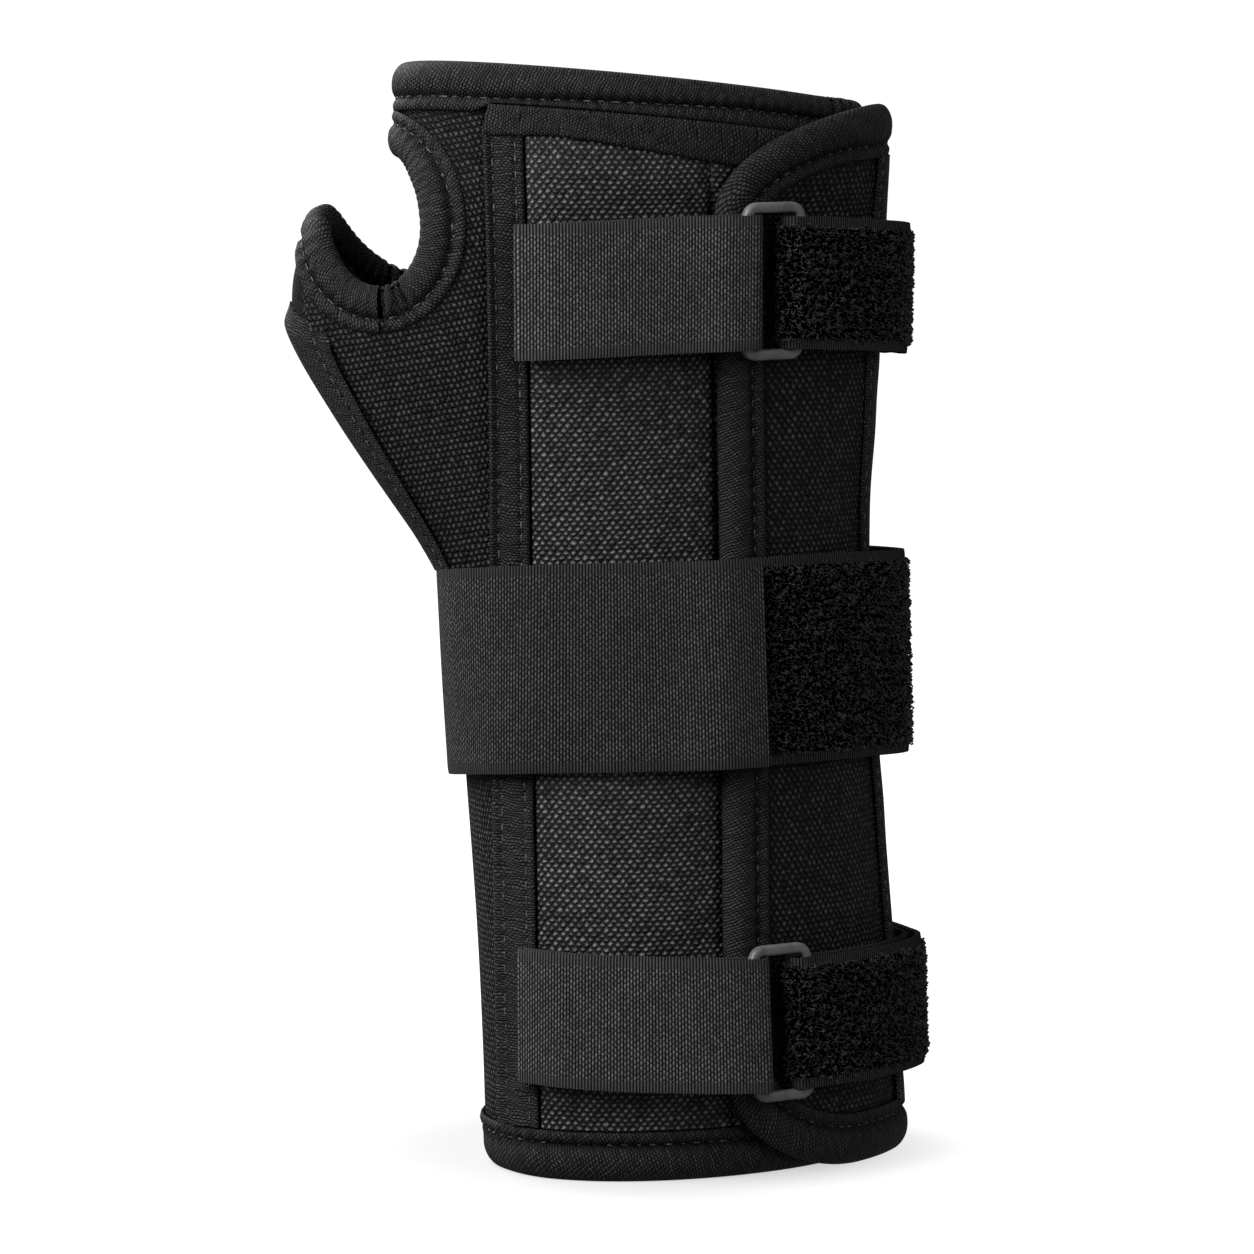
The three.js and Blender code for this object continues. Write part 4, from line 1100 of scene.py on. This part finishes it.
def foot_of(point, guess):
    """Angle of the place below the flap that faces a point, and the point's distance from it."""
    angle, z = guess, point[2]
    for _ in range(14):
        around = (turn_point(angle + 0.01, z) - turn_point(angle - 0.01, z)) * 50
        angle += 0.8 * (point - turn_point(angle, z)) @ around / (around @ around)
    return angle, (point - turn_point(angle, z)) @ facing(turn_point, np.asarray(angle), np.asarray(z))


def fold(point, normal, up, radius, towards, count=14):
    """A half turn about an upright line."""
    along = np.cross(UP, normal) * towards
    theta = np.linspace(-math.pi / 2, math.pi / 2, count)[:, None]
    out = along * np.cos(theta) + normal * np.sin(theta)
    return point + out * radius, out, np.broadcast_to(up, out.shape)


def strap_line(runs, step=0.5):
    """Joins runs of places into one line of even steps."""
    point, normal, up = (np.concatenate([run[k] for run in runs]) for k in range(3))
    gap = np.linalg.norm(np.diff(point, axis=0), axis=1)
    keep = np.concatenate([[True], gap > 1e-4])
    point, normal, up = point[keep], normal[keep], up[keep]
    length = length_along(point)
    even = np.linspace(0, length[-1], int(length[-1] / step) + 1)
    point, normal, up = (at_length(even, length, values) for values in (point, normal, up))
    return {"s": even, "point": point, "normal": unit(normal), "up": up}


def lay_strap(name, node, line, height, thick, material, slot, closed=False, shift=0.0, across=30):
    """A strap along its line. Its edges are a little thinner, as a selvage is."""
    s = line["s"]
    piece, u, v = swatch(name, len(s) - 1, across)
    i = np.rint(u * (len(s) - 1)).astype(int)
    rise = (v - 0.5) * height
    edge = np.minimum(v, 1 - v) * height
    bow = shift + 0.05 * np.sin(s[i] / 5 + rise / 6) - 0.12 * np.exp(-edge / 0.5)
    points = line["point"][i] + line["up"][i] * rise[:, None] + line["normal"][i] * bow[:, None]
    lay(piece, points, (s[i], v * height), line["normal"][i])
    if closed:
        only(piece)
        edit((bpy.ops.mesh.remove_doubles, {"threshold": 0.00005}))
    thicken(piece, thick, offset=0)
    dress(piece, material, slot, node)
    s[-1] / 1000


# %% Elastic tabs
TAB_HEIGHT = 24.8
ON_POCKET = GAP + TAPE + BULGE + GAP + ELASTIC / 2


def tab_line(strap):
    _, normal, up, _, bar, _ = ring_place(strap)
    radius = RING_THICK / 2 + GAP + 0.1 + ELASTIC / 2
    end_radius = (ELASTIC + 0.25) / 2
    angle, out = foot_of(bar, front_angle(strap["ring_x"], strap["ring_z"]))
    bar_x = turn_point(angle, strap["ring_z"])[0]
    end_x = strap["tab_left"] + end_radius + ELASTIC / 2
    run = np.array([
        (end_x, GAP + TAPE + GAP + ELASTIC / 2 + 0.2),
        (end_x + 6, ON_POCKET),
        (4, ON_POCKET + 0.6),
        (13, ON_POCKET + 1.8),
        (bar_x - 4, out - radius - 0.2),
        (bar_x, out - radius),
    ])
    x = np.linspace(end_x, bar_x, 60)
    z = strap["tab_z"] + (strap["ring_z"] - strap["tab_z"]) * (x - end_x) / (bar_x - end_x)
    spread = 2 * end_radius + 2 * (radius - end_radius) * (x - end_x) / (bar_x - end_x)
    below = strap_places(front_angle(x, z), z, through(run, x)[:, 1])
    above = strap_places(front_angle(x, z), z, through(run, x)[:, 1] + spread)
    low = (below[0][1:-1], -below[1][1:-1], below[2][1:-1])
    high = tuple(a[1:-1][::-1] for a in above)
    middle = strap_places(front_angle(end_x, strap["tab_z"]), strap["tab_z"], run[0, 1] + end_radius)
    turn_back = tuple(a[::-1] for a in fold(*middle, end_radius, -1))
    start = tuple(a[:1] for a in low)
    return strap_line([low, fold(bar, normal, up, radius, 1), high, turn_back, start])


for name, node, strap in (("upper_elastic_tab", "upper_ring_tab", UPPER),
                          ("lower_elastic_tab", "lower_ring_tab", LOWER)):
    lay_strap(name, node, tab_line(strap), TAB_HEIGHT, ELASTIC, narrow_elastic, "elastic",
              closed=True)

# %% Pile straps through the rings
PULL_HEIGHT, SEWN, FREE = 24.4, 205, 226
GROUND, GROUND_SHIFT = 1.0, -0.3


def pull_line(strap):
    _, normal, up, _, _, bar = ring_place(strap)
    radius = RING_THICK / 2 + GAP + 0.1 + PILE / 2
    angle, out = foot_of(bar, front_angle(strap["ring_x"], strap["ring_z"]))
    bar_angle, bar_out = math.degrees(angle) + 360, out - FLAP_LIFT
    near = GAP + PILE / 2 + 0.2
    seam = near + TAPE + GAP
    side, ring = strap["side_z"], strap["ring_z"] - PULL_DROP
    # Columns: angle, distance of the inner run and of the outer run, height, lean of the outer run.
    run = np.array([
        (SEWN, near, near + PILE + 0.4, side, 1),
        (FREE, near, near + PILE + 0.4, side, 1),
        (250, seam, seam + PILE + 0.8, side, 0.8),
        (270, seam, strap["stand"], side, 0.3),
        (290, seam, near + 2 * radius + 0.6, (side + ring) / 2, 0.6),
        (bar_angle, bar_out - radius, bar_out + radius, ring, 1),
    ])
    back = np.linspace(SEWN, bar_angle, 150)[:-1]
    _, inner, _, z, _ = through(run, back).T
    inner = strap_places(np.radians(back), z, inner)
    inner = (inner[0], -inner[1], inner[2])
    over = np.linspace(bar_angle, FREE, 140)[1:]
    _, _, outer, z, lean = through(run, over).T
    outer = strap_places(np.radians(over), z, outer, lean)
    line = strap_line([inner, fold(bar, normal, up, radius, -1), outer])
    inner_length = strap_line([inner])["s"][-1]
    return line, inner_length


upper_line, upper_turn = pull_line(UPPER)
lower_line, lower_turn = pull_line(LOWER)
for name, node, line in (("upper_pile_strap", "upper_pull_strap", upper_line),
                         ("lower_pile_strap", "lower_pull_strap", lower_line)):
    lay_strap(name, node, line, PULL_HEIGHT, GROUND, narrow_pile, "pile", shift=GROUND_SHIFT)

# %% The wide band and the pile strap that it closes on
BAND_Z, BAND_HEIGHT = 96, 38.5
band_end = FLAP_LIFT + GAP + PILE + 2 * GAP + ELASTIC / 2 + 1
# Columns: x on the front, distance of the middle from the face.
BAND_FRONT = ((24.8, band_end), (18, band_end - 0.5), (11, ON_POCKET + 1.9), (0, ON_POCKET + 0.4))
# Columns: angle, distance of the middle from the face, height, lean.
BAND = np.array([
    *((math.degrees(front_angle(x, BAND_Z)), out, BAND_Z, 1) for x, out in BAND_FRONT),
    (34, 3.9, 95.8, 1),
    (59, 2.7, 94.8, 1),
    (90, 2.3, 93.4, 0.6),
    (120, 1.8, 93.6, 1),
    (180, 1.3, 94.5, 1),
    (252, 1.5, 95, 1),
])
start = math.degrees(front_angle(19.6, BAND_Z)) + 360
over_roll = GAP + PILE / 2 + 1.25
LOOP_STRAP = np.array([
    (205, 3.4, 93.6, 1),
    (235, 3.8, 93.6, 1),
    (262, 7.2, 93.6, 0.4),
    (275, 7.6, 94, 0.4),
    (295, 3.7, 95.2, 1),
    (start - 18, over_roll + 0.2, BAND_Z, 1),
    (start, over_roll, BAND_Z, 1),
])


def round_line(table):
    degrees = np.linspace(table[0, 0], table[-1, 0], 260)
    _, out, z, lean = through(table, degrees).T
    return strap_line([strap_places(np.radians(degrees), z, out, lean)])


lay_strap("wrist_elastic_band", "middle_band", round_line(BAND), BAND_HEIGHT, ELASTIC, wide_elastic,
          "elastic", across=44)
loop_line = round_line(LOOP_STRAP)
lay_strap("wrist_pile_strap", "middle_loop_strap", loop_line, BAND_HEIGHT, GROUND, wide_pile, "pile",
          shift=GROUND_SHIFT, across=44)

# %% [markdown]
# ## Loop pile
# The dark side of the straps is a pile of tiny nylon loops that the hooks catch. One loop is half of a
# three-sided torus. It is copied all over the strap with its own turn, height and lean, from a seeded
# draw, so that every run gives the same pile. The selvages along the strap's edges stay bare.

# %% One loop
def take_shape():
    """Points and faces of the active piece, which then goes."""
    piece = bpy.context.object
    points = np.array([vertex.co for vertex in piece.data.vertices])
    faces = [tuple(face.vertices) for face in piece.data.polygons]
    bpy.data.objects.remove(piece)
    return points, faces


bpy.ops.object.select_all(action="DESELECT")
bpy.ops.mesh.primitive_torus_add(major_segments=8, minor_segments=3, major_radius=0.5, minor_radius=0.13,
                                 rotation=(math.pi / 2, 0, 0))
bpy.ops.object.transform_apply(location=False, rotation=True, scale=False)
halve = {"plane_co": (0, 0, 0.01), "plane_no": (0, 0, 1), "clear_inner": True, "use_fill": True}
edit((bpy.ops.mesh.bisect, halve))
LOOP_SHAPE = take_shape()
print("loop:", len(LOOP_SHAPE[0]), "points", len(LOOP_SHAPE[1]), "faces")

# %% Copies of a small shape
def copies(name, shape, origins, axes):
    """One piece of many copies of a shape: each has an origin and three axes that also hold its size."""
    points, faces = shape
    placed = origins[:, None] + np.einsum("pk,nkj->npj", points, axes)
    firsts = np.arange(len(origins)) * len(points)
    repeated = [tuple(first + i for i in face) for first in firsts for face in faces]
    mesh = bpy.data.meshes.new(name)
    mesh.from_pydata([(0, 0, 0)] * placed[..., 0].size, [], repeated)
    piece = bpy.data.objects.new(name, mesh)
    bpy.context.scene.collection.objects.link(piece)
    set_points(piece, placed.reshape(-1, 3))
    only(piece)
    bpy.ops.object.shade_smooth()
    return piece


def pile(name, line, start, height, seed, spacing=0.66):
    """Loops on the outer face of a strap from a length along it to its end."""
    draw = np.random.default_rng(seed)
    along = np.arange(start, line["s"][-1] - 0.3, spacing)
    across = np.arange(-height / 2 + 2.0, height / 2 - 1.9, spacing)
    s, rise = (a.ravel() for a in np.meshgrid(along, across))
    s = s + draw.uniform(-0.4, 0.4, len(s)) * spacing
    rise = rise + draw.uniform(-0.45, 0.45, len(s)) * spacing
    ways = (line["point"], line["normal"], line["up"], np.gradient(line["point"], axis=0))
    point, normal, up, ahead = (at_length(s, line["s"], way) for way in ways)
    normal, ahead = unit(normal), unit(ahead)
    base = point + up * rise[:, None] + normal * (GROUND_SHIFT + GROUND / 2 - 0.1)
    turn = draw.uniform(0, math.pi, len(s))[:, None]
    wide = ahead * np.cos(turn) + unit(up) * np.sin(turn)
    side = np.cross(normal, wide)
    tall = draw.uniform(0.55, 1.25, len(s))[:, None]
    lean = wide * draw.normal(0, 0.3, len(s))[:, None] + side * draw.normal(0, 0.6, len(s))[:, None]
    width = draw.uniform(0.55, 1.05, len(s))[:, None]
    axes = np.stack([wide * width, side * 0.9, (normal + lean) * tall * 1.6], axis=1)
    dress(copies(name, LOOP_SHAPE, base, axes), pile_fibre, "pile")


pile("upper_pile_loops", upper_line, upper_turn, PULL_HEIGHT, 11)
pile("lower_pile_loops", lower_line, lower_turn, PULL_HEIGHT, 12)
pile("wrist_pile_loops", loop_line, 0.5, BAND_HEIGHT, 13, 0.7)

# %% [markdown]
# ## Stitches
# Each row of stitches was noted when its piece was laid. One stitch is a small capsule of thread: a
# sphere drawn out along the seam. Its copies lie along the noted lines, their ends sunk in the cloth.

# %% Sew every seam
bpy.ops.object.select_all(action="DESELECT")
bpy.ops.mesh.primitive_uv_sphere_add(segments=8, ring_count=6, radius=1, rotation=(0, math.pi / 2, 0))
bpy.ops.object.transform_apply(location=False, rotation=True, scale=False)
STITCH_SHAPE = take_shape()
for host in dict.fromkeys(row[0] for row in sewing):
    rows = [row for row in sewing if row[0] == host]
    origin, ahead, normal = (np.concatenate([row[k] for row in rows]) for k in (1, 2, 3))
    half, thick = (np.concatenate([np.full((len(row[1]), 1), row[k] / 2) for row in rows]) for k in (4, 5))
    axes = np.stack([ahead * half, unit(np.cross(normal, ahead)) * thick, normal * thick], axis=1)
    draw = np.random.default_rng(len(origin))
    slide = draw.normal(0, 0.12, (len(origin), 1))
    sink = draw.uniform(-0.2, 0.02, (len(origin), 1))
    origin = origin + ahead * slide + normal * sink
    axes = axes * draw.uniform(0.8, 1.1, (len(origin), 1, 1))
    dress(copies(host + "_stitches", STITCH_SHAPE, origin, axes), sewing_thread, "tape")

# %% [markdown]
# ## Studio
# The brace stands on a pale floor under soft light. A large light high on the left gives the form, a
# weaker one on the right opens the shadows, one behind lights the far edges, and the pale sky does the
# rest. The camera looks slightly down at the front from afar, with a long lens.

# %% Floor and light
def paint_floor():
    """White paper that gives off painted light of its own: dimmer near the brace, as painted shade round
    its base, and full white further out, where it hides the cast shadows.
    """
    material, tree, shader = new_material("floor paint")
    spot = place(tree, "TexCoord", "Object")
    far = place(tree, "VectorMath", 1, {"operation": "LENGTH"}, Vector=spot)
    # Painted light: the floor's own light, lowered within a few centimetres of the brace as painted shade.
    painted_glow = place(tree, "MapRange", 0, {"interpolation_type": "SMOOTHSTEP"}, Value=far,
                 From_Min=0.03, From_Max=0.085)
    feed(tree, shader.inputs["Emission Color"], mix(tree, painted_glow, grey(0.55, 1), grey(1.0, 1)))
    shader.inputs["Emission Strength"].default_value = 1.0
    shader.inputs["Base Color"].default_value = grey(0.3, 1)
    shader.inputs["Roughness"].default_value = 0.9
    shader.inputs["Specular IOR Level"].default_value = 0.0
    return material


bpy.ops.object.select_all(action="DESELECT")
bpy.ops.mesh.primitive_plane_add(size=60)
floor = bpy.context.object
floor.name = "studio_floor"
floor.data.materials.append(paint_floor())
floor.visible_diffuse = False
floor.visible_glossy = False


LIGHT_AIM = Vector((0, 0, 0.11))


def soft_light(name, spot, size, watts):
    bpy.ops.object.light_add(type="AREA", location=spot)
    light = bpy.context.object
    light.name = name
    light.data.size = size
    light.data.energy = watts
    light.rotation_euler = (LIGHT_AIM - light.location).to_track_quat("-Z", "Y").to_euler()


soft_light("key_light", (-0.4, -0.3, 0.47), 0.5, 6)
soft_light("fill_light", (0.9, -1.1, 0.7), 0.8, 5)
soft_light("back_light", (-0.7, 0.8, 0.8), 0.8, 12)
world = bpy.data.worlds.new("pale sky")
bpy.context.scene.world = world
world.use_nodes = True
world.node_tree.nodes["Background"].inputs["Color"].default_value = (1, 1, 1, 1)
world.node_tree.nodes["Background"].inputs["Strength"].default_value = 0.16
bpy.context.scene.view_settings.view_transform = "Standard"

# %% Camera
FOCAL_PIXELS, PHOTO_PIXELS, SENSOR = 6930, 1254, 36
CAMERA_SPOT, CAMERA_PITCH = (0.0032, -1.3, 0.246), math.radians(83.6)
bpy.ops.object.camera_add(location=CAMERA_SPOT, rotation=(CAMERA_PITCH, 0, 0))
camera = bpy.context.object
camera.data.sensor_width = SENSOR
camera.data.lens = SENSOR * FOCAL_PIXELS / PHOTO_PIXELS
camera.data.clip_end = 100
bpy.context.scene.camera = camera
